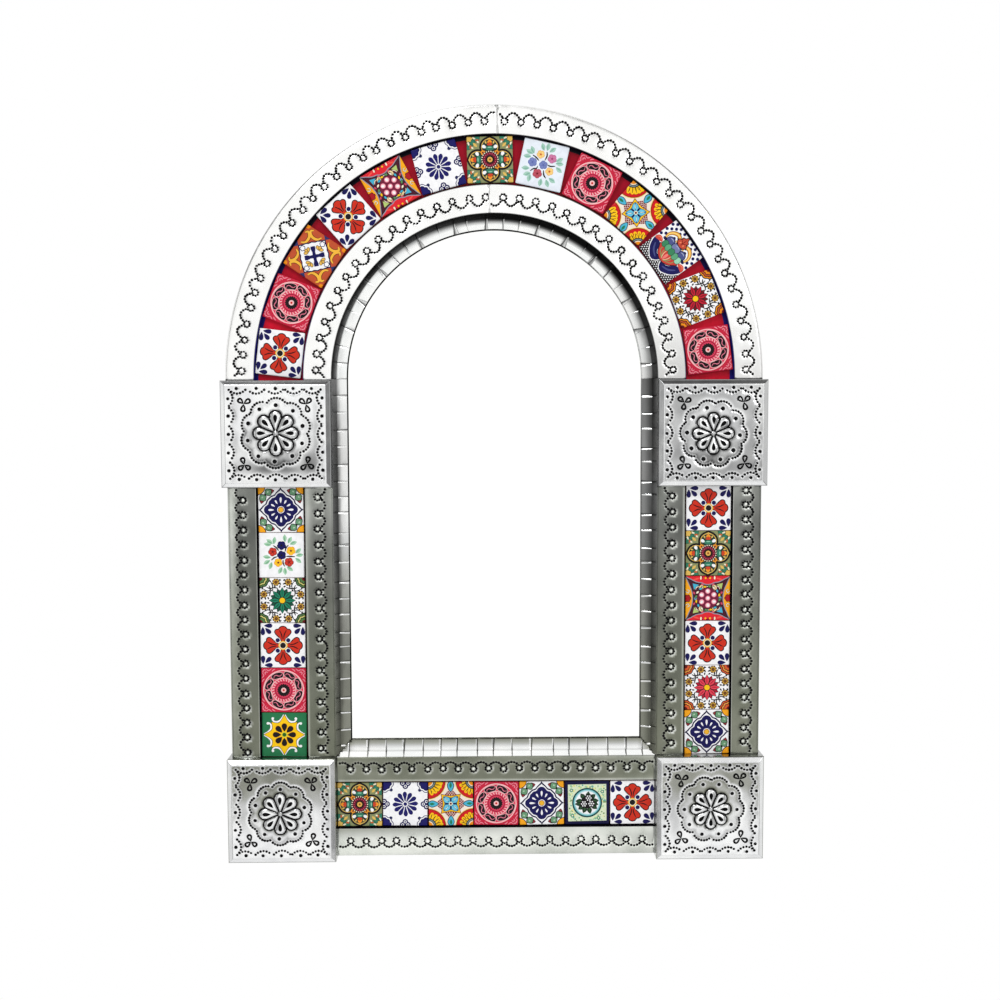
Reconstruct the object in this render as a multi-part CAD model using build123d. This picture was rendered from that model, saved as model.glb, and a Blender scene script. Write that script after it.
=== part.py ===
"""Arched wall mirror in punched tinplate, with glazed 2-inch tiles in its channel.

Millimetres.  X runs to the right and Z up; the front faces -Y and the wall is
the plane Y = 0.  The origin is on the wall, midway between the two hang rings.
"""

from build123d import *
import os
from math import atan, cos, degrees, pi, radians, sin

# ---- Plan of the frame, seen from the front -------------------------------
arch_outer_radius = 292.5
outer_band_width = 31.1
channel_width = 53.4
inner_band_width = 30.4
rail_upper_band_width = 27.2
arch_foot = 1.7
block_overhang = 3.9
block_foot_drop = 3.3
leg_foot_gap = 0.6
leg_span = 300.1

# ---- Depths ---------------------------------------------------------------
frame_depth = 18.0
block_depth = 30.0
hem_width = 5.5

# ---- Tinplate -------------------------------------------------------------
sheet = 0.5
fold_radius = 2.2
band_return = 2.5
tray_rim_gap = 0.6

# ---- Tiles ----------------------------------------------------------------
tile_side_gap = 1.7
arch_tile_gap = 0.3
arch_foot_share = 0.32
tile_thickness = 6.0
tile_recess = 2.5
tile_shoulder = 1.2
tile_corner = 1.5
arch_seam_outer_lean = 0.6
arch_seam_inner_lean = -1.8

# ---- Corner blocks --------------------------------------------------------
bevel_width = 5.5
bevel_depth = 3.5
petal_count = 8
petal_root = 7.0
petal_tip = 24.0
petal_half_width = 6.2
petal_height = 1.2
petal_edge = 0.7
boss_radius = 4.5
boss_height = 1.6

# ---- Crimped lip ----------------------------------------------------------
lip_sheet = 0.4
lip_flange = 6.0
lip_wall_run = 5.0
lip_panel_run = 12.1
bottom_lip_stretch = 1.1
lip_wall_drop = 5.6
lip_panel_drop = 3.2
crimp_depth = 0.6
leg_crimps = 22
bottom_crimps = 17
arch_crimps = 29

# ---- Glass and backing ----------------------------------------------------
glass_thickness = 3.0
glass_lap = 10.0
backing_thickness = 2.5

# ---- Retaining tabs -------------------------------------------------------
tab_width = 12.0
tab_foot = 4.5
tab_start = 1.0
tab_hold = 8.0
leg_tab_count = 2
rail_tab_count = 3
arch_tab_count = 5

# ---- Hang rings -----------------------------------------------------------
hang_angle = 38.0
wire_diameter = 2.5
ring_bar = 24.0
ring_drop = 21.0
ring_foot = 17.0
ring_top_bend = 3.0
ring_bottom_bend = 8.0
ring_floor_gap = 0.3
strap_gap = 0.07
strap_sheet = 0.7
strap_width = 13.0
strap_foot = 7.0

# ---- Solder ---------------------------------------------------------------
solder_leg = 2.5
solder_length = 10.0

# ---- Worked out from the sizes above --------------------------------------
half_turn = 180.0
quarter_turn = 90.0
channel_outer_radius = arch_outer_radius - outer_band_width
channel_inner_radius = channel_outer_radius - channel_width
inner_radius = channel_inner_radius - inner_band_width
channel_mid_radius = (channel_outer_radius + channel_inner_radius) / 2
block_height = (block_foot_drop + outer_band_width + channel_width + rail_upper_band_width
                + leg_foot_gap)

arch_centre_z = -channel_mid_radius * cos(radians(hang_angle))
ring_x = channel_mid_radius * sin(radians(hang_angle))
upper_block_top = arch_centre_z - arch_foot
upper_block_bottom = upper_block_top - block_height
lower_block_top = upper_block_bottom - leg_span
lower_block_bottom = lower_block_top - block_height
rail_bottom = lower_block_bottom + block_foot_drop
rail_channel_bottom = rail_bottom + outer_band_width
rail_channel_top = rail_channel_bottom + channel_width
rail_top = rail_channel_top + rail_upper_band_width
block_outer_x = arch_outer_radius + block_overhang
block_width = block_outer_x - inner_radius

band_front = -frame_depth
band_back = band_front + sheet
channel_floor_front = band_front + tile_recess + tile_thickness
channel_floor_back = channel_floor_front + sheet
lip_edge_back = band_back + lip_wall_drop + lip_panel_drop + crimp_depth + lip_sheet
glass_back = lip_edge_back + glass_thickness
backing_back = glass_back + backing_thickness
arch_axis = Axis((0, 0, arch_centre_z), (0, 1, 0))
mirror_plane = Plane.YZ


# ---- Folded sheet ---------------------------------------------------------
def folded_sheet(corners, side, thickness=sheet):
    """Section of a sheet folded along corners, with its thickness to one side."""
    fold = Polyline(*corners)
    return Face(fold.offset_2d(thickness, kind=Kind.INTERSECTION, side=side))


def round_front_fold(section):
    """Section with the fold between flange and band bent to a radius."""
    outside = section.vertices().filter_by(lambda v: abs(v.X) + abs(v.Y - band_front) < sheet / 2)
    section = section.fillet_2d(fold_radius, outside)
    corner_x, corner_y = sheet, band_back
    inside = section.vertices().filter_by(
        lambda v: abs(v.X - corner_x) + abs(v.Y - corner_y) < sheet / 2)
    return section.fillet_2d(fold_radius - sheet, inside)


# Sections below: first coordinate inward from the outer edge, second is depth.
edge_1 = outer_band_width
edge_2 = edge_1 + channel_width


def hat_section(inner_band):
    """One sheet: hem, flange, outer band, tile channel and inner band."""
    corners = [
        (hem_width, 0),
        (0, 0),
        (0, band_front),
        (edge_1, band_front),
        (edge_1, channel_floor_front),
        (edge_2, channel_floor_front),
        (edge_2, band_front),
        (edge_2 + inner_band, band_front),
    ]
    return round_front_fold(folded_sheet(corners, Side.LEFT))


def outer_band_section():
    """Hem, flange, outer band and the short return into the channel."""
    corners = [
        (hem_width, 0),
        (0, 0),
        (0, band_front),
        (edge_1, band_front),
        (edge_1, band_front + band_return),
    ]
    return round_front_fold(folded_sheet(corners, Side.LEFT))


def inner_band_section():
    """Inner band with its short return into the channel."""
    corners = [
        (edge_2, band_front + band_return),
        (edge_2, band_front),
        (edge_2 + inner_band_width, band_front),
    ]
    return folded_sheet(corners, Side.LEFT)


def tray_section():
    """Tray that holds the arch tiles: a floor with two low walls."""
    corners = [
        (edge_1, band_front + tray_rim_gap),
        (edge_1, channel_floor_back),
        (edge_2, channel_floor_back),
        (edge_2, band_front + tray_rim_gap),
    ]
    return folded_sheet(corners, Side.RIGHT)


def on_right_side(section, z):
    """Section laid level on the right, with its outer edge at the outer radius."""
    seat = Plane(origin=(arch_outer_radius, 0, z), x_dir=(-1, 0, 0), z_dir=(0, 0, -1))
    return seat * section


def mirrored(shape):
    """Shape on the other side of the middle plane."""
    return mirror(shape, about=mirror_plane)


# ---- Legs, rail and arch --------------------------------------------------
def leg_channel():
    """Right leg, between its two blocks."""
    section = on_right_side(hat_section(inner_band_width), lower_block_top)
    return extrude(section, amount=leg_span, dir=(0, 0, 1))


def bottom_rail():
    """Rail between the two lower blocks."""
    seat = Plane(origin=(-inner_radius, 0, rail_bottom), x_dir=(0, 0, 1), z_dir=(-1, 0, 0))
    section = seat * hat_section(rail_upper_band_width)
    return extrude(section, amount=2 * inner_radius, dir=(1, 0, 0))


def arch_half(section, lean):
    """Right half of one strip of the arch, from its foot up to the seam."""
    level = on_right_side(section, arch_centre_z)
    foot = extrude(level, amount=arch_foot, dir=(0, 0, -1))
    bow = revolve(level, arch_axis, -(quarter_turn - lean))
    return foot + bow


def arch_pair(section, lean):
    """Right and left halves of one strip, meeting at a seam off centre by lean."""
    return arch_half(section, lean), mirrored(arch_half(section, -lean))


# ---- Corner blocks --------------------------------------------------------
def petal():
    """One raised petal of the rosette, pointing along +X in the block's face."""
    middle = (petal_root + petal_tip) / 2
    upper = ThreePointArc((petal_root, 0), (middle, petal_half_width), (petal_tip, 0))
    lower = ThreePointArc((petal_tip, 0), (middle, -petal_half_width), (petal_root, 0))
    pad = extrude(make_face([upper, lower]), amount=petal_height)
    return chamfer(pad.edges().group_by(Axis.Z)[-1], petal_edge)


def rosette():
    """Ring of petals round a domed boss."""
    dome_radius = (boss_radius ** 2 + boss_height ** 2) / (2 * boss_height)
    dome = Pos(0, 0, boss_height - dome_radius) * Sphere(dome_radius)
    boss = dome & Pos(0, 0, boss_height / 2) * Cylinder(boss_radius * 2, boss_height)
    petals = PolarLocations(0, petal_count) * petal()
    return [boss] + list(petals)


def block_shell(width, height):
    """Pressed box, open at the back, with a bevelled front."""
    wall_depth = block_depth - bevel_depth
    box = Pos(0, 0, wall_depth / 2) * Box(width, height, wall_depth)
    front = Rectangle(width - 2 * bevel_width, height - 2 * bevel_width)
    bevel = loft([Pos(0, 0, wall_depth) * Rectangle(width, height), Pos(0, 0, block_depth) * front])
    body = box + bevel
    return offset(body, amount=-sheet, openings=body.faces().sort_by(Axis.Z)[0])


def corner_block(centre_z, notch_bottom, notch_top):
    """Block on the right, notched at its back for the flange of the lip."""
    shape = block_shell(block_width, block_height)
    for pad in rosette():
        shape = shape + Pos(0, 0, block_depth) * pad
    centre_x = inner_radius + block_width / 2
    seat = Plane(origin=(centre_x, 0, centre_z), x_dir=(1, 0, 0), z_dir=(0, -1, 0))
    notch_width = lip_flange + 2 * sheet
    notch_box = Box(notch_width, -band_back, notch_top - notch_bottom, align=Align.MIN)
    notch = Pos(inner_radius, band_back, notch_bottom) * notch_box
    return seat * shape - notch


# ---- Crimped lip ----------------------------------------------------------
def lip_corners(stretch, crimp):
    """Corners of the lip's section as (run inward, depth) pairs."""
    wall_end = lip_wall_run * stretch
    edge_run = wall_end + lip_panel_run * stretch
    wall_depth = band_back + lip_wall_drop + crimp
    front = [
        (-lip_flange * stretch, band_back),
        (0, band_back),
        (wall_end, wall_depth),
        (edge_run, wall_depth + lip_panel_drop),
    ]
    back = [(run, depth + lip_sheet) for run, depth in reversed(front)]
    return front + back


def lip_strip(count, stretch, place):
    """Strip of lip, lofted with straight rulings from crease to crease."""
    sections = []
    for step in range(2 * count + 1):
        crimp = crimp_depth if step % 2 == 0 else 0
        corners = lip_corners(stretch, crimp)
        points = [place(step / (2 * count), run, depth) for run, depth in corners]
        sections.append(Wire.make_polygon(points, close=True))
    return Solid.make_loft(sections, ruled=True)


def between(start, end, share):
    """Value part of the way from start to end."""
    return start + (end - start) * share


flange_corner_z = rail_top - lip_flange * bottom_lip_stretch
flange_corner_x = inner_radius + lip_flange
mitre_normal = (bottom_lip_stretch, 0, 1)
mitre = Plane(origin=(inner_radius, 0, rail_top), z_dir=mitre_normal)


def place_on_leg(share, run, depth):
    """Point of the right leg's lip."""
    return (inner_radius - run, depth, between(arch_centre_z, flange_corner_z, share))


def place_on_rail(share, run, depth):
    """Point of the bottom lip."""
    return (between(-flange_corner_x, flange_corner_x, share), depth, rail_top + run)


def place_on_arch(share, run, depth):
    """Point of the arch's lip, from the right foot round to the left."""
    turn = pi * share
    radius = inner_radius - run
    return (radius * cos(turn), depth, arch_centre_z + radius * sin(turn))


def leg_lip():
    """Right leg's lip, cut at its foot to meet the bottom lip."""
    return split(lip_strip(leg_crimps, 1, place_on_leg), bisect_by=mitre, keep=Keep.TOP)


def bottom_lip():
    """Bottom lip, cut at both ends to meet the lips of the legs."""
    strip = lip_strip(bottom_crimps, bottom_lip_stretch, place_on_rail)
    right_cut = split(strip, bisect_by=mitre, keep=Keep.BOTTOM)
    return split(mirrored(right_cut), bisect_by=mitre, keep=Keep.BOTTOM)


# ---- Glass, backing and tabs ----------------------------------------------
lip_inner_radius = inner_radius - lip_wall_run - lip_panel_run
lip_inner_bottom = rail_top + (lip_wall_run + lip_panel_run) * bottom_lip_stretch
glass_radius = lip_inner_radius + glass_lap
glass_bottom = lip_inner_bottom - glass_lap


def arched_plate(front, thickness):
    """Plate with a round top, as far as the glass reaches under the lip."""
    straight = arch_centre_z - glass_bottom
    face = Pos(0, -straight / 2) * Rectangle(2 * glass_radius, straight) + Circle(glass_radius)
    seat = Plane(origin=(0, front, arch_centre_z), x_dir=(1, 0, 0), z_dir=(0, -1, 0))
    return extrude(seat * face, amount=thickness, dir=(0, 1, 0))


def retaining_tab():
    """Tin tab at the right foot of the arch, bent over the edge of the backing."""
    foot_front = band_back + lip_sheet
    edge = inner_radius - glass_radius
    corners = [
        (inner_radius + tab_start + tab_foot, foot_front),
        (inner_radius + tab_start, foot_front),
        (inner_radius + tab_start, backing_back),
        (inner_radius - edge - tab_hold, backing_back),
    ]
    section = folded_sheet(corners, Side.RIGHT)
    return Pos(0, 0, -tab_width / 2) * extrude(section, amount=tab_width, dir=(0, 0, 1))


def even_places(start, end, count):
    """Middles of count equal stretches from start to end."""
    return [between(start, end, (index + 0.5) / count) for index in range(count)]


def retaining_tabs():
    """Tabs along both legs, the rail and the arch."""
    tab = retaining_tab()
    tabs = []
    for height in even_places(lower_block_top, upper_block_bottom, leg_tab_count):
        right = Pos(0, 0, height) * tab
        tabs += [right, mirrored(right)]
    for angle in even_places(0, half_turn, arch_tab_count):
        tabs.append(Pos(0, 0, arch_centre_z) * Rot(0, -angle, 0) * tab)
    low_tab = Pos(0, 0, rail_top + inner_radius) * Rot(0, quarter_turn, 0) * tab
    for place in even_places(-inner_radius, inner_radius, rail_tab_count):
        tabs.append(Pos(place, 0, 0) * low_tab)
    return tabs


# ---- Tiles ----------------------------------------------------------------
tile_size = channel_width - 2 * tile_side_gap


def tile():
    """Glazed tile lying in the XZ plane, its glazed face to the front."""
    slab = extrude(Rectangle(tile_size, tile_size), amount=tile_thickness)
    slab = fillet(slab.edges().filter_by(Axis.Z), tile_corner)
    slab = fillet(slab.faces().sort_by(Axis.Z)[-1].edges(), tile_shoulder)
    seat = Plane(origin=(0, channel_floor_front, 0), x_dir=(1, 0, 0), z_dir=(0, -1, 0))
    return seat * slab


def arch_tiles():
    """Tiles round the arch: close from the left foot to the top, then spaced out.

    The slack of the round goes between the right-hand tiles, apart from the share
    that stays below the last one, at the right foot.
    """
    inner_edge_radius = channel_mid_radius - tile_size / 2
    tile_turn = 2 * degrees(atan((tile_size + arch_tile_gap) / 2 / inner_edge_radius))
    count = int(half_turn / tile_turn)
    spaced_count = count // 2
    slack = half_turn - count * tile_turn
    space = slack * (1 - arch_foot_share) / spaced_count
    raised = Pos(0, 0, channel_mid_radius) * tile()
    tiles = []
    for index in range(count):
        spaces = max(0, index + 1 + spaced_count - count)
        turn = -quarter_turn + (index + 0.5) * tile_turn + spaces * space
        tiles.append(Pos(0, 0, arch_centre_z) * Rot(0, turn, 0) * raised)
    return tiles


def leg_tiles():
    """Tiles up the right leg, from the top down."""
    heights = even_places(upper_block_bottom, lower_block_top, int(leg_span / tile_size))
    return [Pos(channel_mid_radius, 0, height) * tile() for height in heights]


def rail_tiles():
    """Tiles along the rail, from left to right."""
    height = (rail_channel_bottom + rail_channel_top) / 2
    count = int(2 * inner_radius / tile_size)
    places = even_places(-inner_radius, inner_radius, count)
    return [Pos(place, 0, height) * tile() for place in places]


# ---- Hang rings -----------------------------------------------------------
wire_radius = wire_diameter / 2
bar_y = channel_floor_back + ring_floor_gap + wire_radius
saddle_radius = wire_radius + strap_gap


def hang_ring():
    """Wire ring hanging from its bar, which lies along X at the right."""
    half_bar = ring_bar / 2
    half_foot = ring_foot / 2
    corners = [
        (0, 0),
        (half_bar, 0),
        (half_foot, -ring_drop),
        (-half_foot, -ring_drop),
        (-half_bar, 0),
    ]
    bends = [0.0, ring_top_bend, ring_bottom_bend, ring_bottom_bend, ring_top_bend]
    seat = Plane(origin=(ring_x, bar_y, 0), x_dir=(1, 0, 0), z_dir=(0, -1, 0))
    path = seat * FilletPolyline(*corners, radius=bends, close=True)
    section = Plane(origin=path @ 0, z_dir=path % 0) * Circle(wire_radius)
    return sweep(section, path=path)


def hanger_strap():
    """Tin strap saddled over the ring's bar, with a foot above and below it."""
    axis_height = bar_y - channel_floor_back
    outer_radius = saddle_radius + strap_sheet
    feet = Pos(0, strap_sheet / 2) * Rectangle(2 * (outer_radius + strap_foot), strap_sheet)
    hump = Pos(0, axis_height) * Circle(outer_radius)
    sides = Pos(0, axis_height / 2) * Rectangle(2 * outer_radius, axis_height)
    hollow = Pos(0, axis_height) * Circle(saddle_radius)
    throat = Pos(0, axis_height / 2) * Rectangle(2 * saddle_radius, axis_height)
    below = Pos(0, -block_depth / 2) * Rectangle(block_depth, block_depth)
    section = feet + hump + sides - hollow - throat - below
    left_end = ring_x - strap_width / 2
    seat = Plane(origin=(left_end, channel_floor_back, 0), x_dir=(0, 0, 1), z_dir=(-1, 0, 0))
    return extrude(seat * section, amount=strap_width, dir=(1, 0, 0))


# ---- Solder ---------------------------------------------------------------
def solder_bead(z_way):
    """Bead along Y, in the corner of the right flange and a level wall."""
    corner_x = arch_outer_radius - sheet
    front = -(frame_depth + solder_length) / 2
    corners = [
        (corner_x, front, 0),
        (corner_x - solder_leg, front, 0),
        (corner_x, front, z_way * solder_leg),
    ]
    section = Face(Wire.make_polygon(corners, close=True))
    return extrude(section, amount=solder_length, dir=(0, 1, 0))


def solder_beads():
    """Beads that hold the legs to the blocks, at the back."""
    beads = []
    for height, z_way in [(lower_block_top, 1), (upper_block_bottom, -1)]:
        right = Pos(0, 0, height) * solder_bead(z_way)
        beads += [right, mirrored(right)]
    return beads


# ---- Writing --------------------------------------------------------------
def write(name, shape):
    """Save one node."""
    export_step(shape, f"parts/{name}.step")


def write_pair(name, right):
    """Save a node on the right and its mirror image on the left."""
    write(f"{name}_right", right)
    write(f"{name}_left", mirrored(right))


def write_row(name, shapes):
    """Save a numbered row of nodes."""
    for number, shape in enumerate(shapes, start=1):
        write(f"{name}_{number:02d}", shape)


os.makedirs("parts", exist_ok=True)

for strip, section, lean in [
    ("arch_outer_band", outer_band_section(), arch_seam_outer_lean),
    ("arch_inner_band", inner_band_section(), arch_seam_inner_lean),
    ("arch_tile_tray", tray_section(), 0),
]:
    right_half, left_half = arch_pair(section, lean)
    write(f"{strip}_right", right_half)
    write(f"{strip}_left", left_half)

write_pair("leg_channel", leg_channel())
write("bottom_rail_channel", bottom_rail())

upper_middle = (upper_block_top + upper_block_bottom) / 2
lower_middle = (lower_block_top + lower_block_bottom) / 2
write_pair("upper_block", corner_block(upper_middle, upper_block_bottom, upper_block_top))
write_pair("lower_block", corner_block(lower_middle, flange_corner_z - sheet, lower_block_top))

write_pair("crimped_lip_leg", leg_lip())
write("crimped_lip_arch", lip_strip(arch_crimps, 1, place_on_arch))
write("crimped_lip_bottom", bottom_lip())

write("mirror_glass", arched_plate(lip_edge_back, glass_thickness))
write("backing_board", arched_plate(glass_back, backing_thickness))
write("retaining_tabs", Compound(children=retaining_tabs()))

write_row("arch_tile", arch_tiles())
write_row("leg_tile_right", leg_tiles())
write_row("leg_tile_left", [mirrored(shape) for shape in leg_tiles()])
write_row("rail_tile", rail_tiles())

write_pair("hang_ring", hang_ring())
write_pair("hanger_strap", hanger_strap())
write("solder_beads", Compound(children=solder_beads()))
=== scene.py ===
"""Looks of the arched tin mirror: punched sheet, painted tiles, crimped lip and mirror glass."""
import random
from collections import namedtuple
from math import asin, atan2, cos, degrees, exp, hypot, pi, radians, sin, sqrt

import bmesh
import bpy
import numpy as np
from mathutils import Matrix, Vector, noise
from mathutils.geometry import delaunay_2d_cdt
from mathutils.kdtree import KDTree


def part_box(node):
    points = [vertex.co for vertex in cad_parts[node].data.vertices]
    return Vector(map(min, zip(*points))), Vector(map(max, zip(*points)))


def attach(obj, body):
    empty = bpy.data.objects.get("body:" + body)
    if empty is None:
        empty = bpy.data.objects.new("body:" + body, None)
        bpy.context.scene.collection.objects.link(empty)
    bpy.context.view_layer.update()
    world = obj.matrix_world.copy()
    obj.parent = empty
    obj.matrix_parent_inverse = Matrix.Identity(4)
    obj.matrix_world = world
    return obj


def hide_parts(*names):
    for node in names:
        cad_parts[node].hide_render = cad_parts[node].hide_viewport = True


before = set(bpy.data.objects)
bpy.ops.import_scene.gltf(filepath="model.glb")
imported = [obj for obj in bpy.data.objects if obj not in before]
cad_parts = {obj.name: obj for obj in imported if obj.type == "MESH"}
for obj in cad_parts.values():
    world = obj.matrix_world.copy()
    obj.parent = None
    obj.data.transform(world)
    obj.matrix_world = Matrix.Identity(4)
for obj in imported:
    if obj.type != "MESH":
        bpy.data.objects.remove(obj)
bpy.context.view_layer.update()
MM = 0.001
full_turn = 360.0
quarters = (0, 90, 180, 270)


# ---- Sizes read from the frame, in millimetres ------------------------------
def node_box(node):
    """Lowest and highest corner of a CAD node."""
    low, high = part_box(node)
    return low / MM, high / MM


outer_radius = node_box("arch_outer_band_right")[1].x
channel_outer = node_box("arch_tile_tray_right")[1].x
channel_inner = node_box("arch_inner_band_right")[1].x
inner_radius = node_box("bottom_rail_channel")[1].x
arch_z = node_box("crimped_lip_arch")[0].z
arch_foot_z = node_box("arch_outer_band_right")[0].z
leg_bottom, leg_top = (corner.z for corner in node_box("leg_channel_right"))
rail_bottom, rail_top = (corner.z for corner in node_box("bottom_rail_channel"))
band_y = node_box("leg_channel_right")[0].y
tile_y, tile_back_y = (corner.y for corner in node_box("leg_tile_right_01"))
tile_size = node_box("leg_tile_right_01")[1].x - node_box("leg_tile_right_01")[0].x
lip_end_run = inner_radius - node_box("crimped_lip_leg_right")[0].x

sheet = 0.5
lip_sheet = 0.4
fold_radius = 2.2
hem_width = 5.5
band_back_y = band_y + sheet
outer_band = outer_radius - channel_outer
channel_width = channel_outer - channel_inner
inner_band = channel_inner - inner_radius
rail_upper_band = rail_top - rail_bottom - outer_band - channel_width


# ---- Colours ----------------------------------------------------------------
def linear(value):
    """Linear level of a display value between 0 and 255."""
    share = value / 255
    return share / 12.92 if share <= 0.04045 else ((share + 0.055) / 1.055) ** 2.4


def srgb(red, green, blue):
    """Linear colour from display values between 0 and 255."""
    return (linear(red), linear(green), linear(blue), 1.0)


tin_brightness = 0.9


# Tones are painted light and shade: reflection, highlight and shadow multiplied into the tin's colour.
def shade(value):
    """Tone at which bright tin shows a display value between 0 and 255."""
    return min(1.0, linear(max(0.0, min(value, 255))) / tin_brightness)


WHITE = srgb(246, 246, 248)
CREAM = srgb(244, 232, 205)
BLACK = srgb(18, 14, 16)
NAVY = srgb(12, 10, 80)
DEEP_NAVY = srgb(10, 8, 58)
RED = srgb(204, 42, 30)
MAROON = srgb(104, 14, 24)
PALE_PINK = srgb(246, 190, 192)
YELLOW = srgb(250, 196, 18)
ORANGE = srgb(240, 142, 20)
GREEN = srgb(34, 122, 82)
TEAL = srgb(70, 140, 118)
TURQUOISE = srgb(66, 176, 208)
GREY_BLUE = srgb(120, 140, 146)
TERRACOTTA = srgb(196, 84, 40)
CLAY = srgb(172, 98, 66)


# ---- Drawing on a tile, in millimetres from its centre ------------------------
spot_points = 14


def turned(shape, angle):
    """Shape turned anticlockwise about the tile's centre."""
    along, across = cos(radians(angle)), sin(radians(angle))
    return [(x * along - y * across, x * across + y * along) for x, y in shape]


def moved(shape, dx, dy):
    """Shape shifted."""
    return [(x + dx, y + dy) for x, y in shape]


def flipped(shape):
    """Shape mirrored left to right."""
    return [(-x, y) for x, y in reversed(shape)]


def disc(x, y, radius, points=spot_points):
    """Round spot."""
    steps = [2 * pi * k / points for k in range(points)]
    return [(x + radius * cos(a), y + radius * sin(a)) for a in steps]


def oval(x, y, half_length, half_width, angle=0):
    """Oval spot, long along angle."""
    steps = [2 * pi * k / spot_points for k in range(spot_points)]
    flat = [(half_length * cos(a), half_width * sin(a)) for a in steps]
    return moved(turned(flat, angle), x, y)


def drop(x, y, length, width, angle, points=spot_points):
    """Brush dab with its point at (x, y) and its round head along angle."""
    flat = []
    for k in range(points):
        a = 2 * pi * k / points
        flat.append((length * (1 - cos(a)) / 2, width * 0.65 * sin(a) * sin(a / 2)))
    return moved(turned(flat, angle), x, y)


def leaf(x, y, length, width, angle, points=6):
    """Leaf, pointed at both ends, from (x, y) along angle."""
    shares = [k / points for k in range(points)]
    upper = [(length * s, width / 2 * sin(pi * s)) for s in shares]
    lower = [(length * (1 - s), -width / 2 * sin(pi * s)) for s in shares]
    return moved(turned(upper + lower, angle), x, y)


def smooth(points, steps):
    """Catmull-Rom curve through points."""
    ends = [points[0], *points, points[-1]]
    curve = []
    for p0, p1, p2, p3 in zip(ends, ends[1:], ends[2:], ends[3:]):
        for k in range(steps):
            t = k / steps
            weights = (
                -t + 2 * t * t - t ** 3,
                2 - 5 * t * t + 3 * t ** 3,
                t + 4 * t * t - 3 * t ** 3,
                -t * t + t ** 3,
            )
            curve.append(tuple(
                sum(w * p[axis] for w, p in zip(weights, (p0, p1, p2, p3))) / 2
                for axis in (0, 1)))
    return curve + [points[-1]]


def stroke(points, width, steps=4):
    """Brush line along a smooth curve, thinner at its ends."""
    curve = smooth(points, steps)
    left, right = [], []
    for index, (x, y) in enumerate(curve):
        before = curve[max(index - 1, 0)]
        after = curve[min(index + 1, len(curve) - 1)]
        dx, dy = after[0] - before[0], after[1] - before[1]
        size = hypot(dx, dy) or 1.0
        share = index / (len(curve) - 1)
        half = width / 2 * (0.45 + 0.55 * sin(pi * share))
        left.append((x - dy / size * half, y + dx / size * half))
        right.append((x + dy / size * half, y - dx / size * half))
    return left + right[::-1]


def rounded(points, steps=3):
    """Closed smooth outline through points."""
    loop = smooth([points[-1], *points, points[0], points[1]], steps)
    return loop[steps:-steps - 1]


def swollen(shape, margin):
    """Shape grown outward by a margin."""
    turn = sum(x0 * y1 - x1 * y0 for (x0, y0), (x1, y1) in zip(shape, shape[1:] + shape[:1]))
    way = margin if turn > 0 else -margin
    grown = []
    for (x0, y0), (x, y), (x1, y1) in zip(shape[-1:] + shape, shape, shape[1:] + shape[:1]):
        back, ahead = hypot(x - x0, y - y0) or 1.0, hypot(x1 - x, y1 - y) or 1.0
        dx, dy = (x - x0) / back + (x1 - x) / ahead, (y - y0) / back + (y1 - y) / ahead
        size = max(hypot(dx, dy), 0.8)
        grown.append((x + dy / size * way, y - dx / size * way))
    return grown


def evenly(path, spacing):
    """Points at even distances along a path, with both its ends."""
    steps = [hypot(x1 - x0, y1 - y0) for (x0, y0), (x1, y1) in zip(path, path[1:])]
    runs = np.cumsum([0.0, *steps])
    places = np.linspace(0, runs[-1], max(2, round(runs[-1] / spacing) + 1))
    xs, ys = zip(*path)
    return [(np.interp(place, runs, xs), np.interp(place, runs, ys)) for place in places]


def bowed(shape, radius):
    """Shape bent round the centre: its x runs along the circle, its y outward."""
    return [((radius + y) * sin(x / radius), (radius + y) * cos(x / radius)) for x, y in shape]


def polar(pairs, scale=1.0):
    """Closed outline through (angle, radius) pairs of a quarter, repeated all round."""
    outline = []
    for quarter in range(4):
        for angle, radius in pairs:
            a = radians(angle + 90 * quarter)
            outline.append((radius * scale * cos(a), radius * scale * sin(a)))
    return outline


def both_eighths(pairs):
    """The (angle, radius) pairs from 0 to 45 degrees, and their mirror image up to 90."""
    return pairs + [(90 - angle, radius) for angle, radius in reversed(pairs[1:-1])]


def wavy_disc(x, y, radius, lobes, rise, start=0.0):
    """Disc with a scalloped edge."""
    outline = []
    for k in range(lobes * 5):
        a = 2 * pi * k / (lobes * 5)
        bump = rise * abs(sin(lobes * a / 2 + radians(start)))
        outline.append((x + (radius + bump) * cos(a), y + (radius + bump) * sin(a)))
    return outline


class Painting:
    """Colours laid over each other on a tile, the last on top."""

    def __init__(self, ground):
        self.ground = ground
        self.layers = []

    def paint(self, colour, *shapes):
        """Shapes of one colour."""
        self.layers += [(colour, shape) for shape in shapes]

    def around(self, colour, shape, copies=4, start=0.0):
        """The same shape repeated round the centre."""
        turns = [start + full_turn * k / copies for k in range(copies)]
        self.paint(colour, *[turned(shape, turn) for turn in turns])

    def lined(self, colour, line, width, shape, copies=1, start=0.0):
        """The shape with an outline, repeated round the centre."""
        self.around(line, swollen(shape, width), copies, start)
        self.around(colour, shape, copies, start)

    def both_ways(self, colour, shape):
        """The shape and its mirror image in all four quarters."""
        self.around(colour, shape)
        self.around(colour, flipped(shape))


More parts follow.
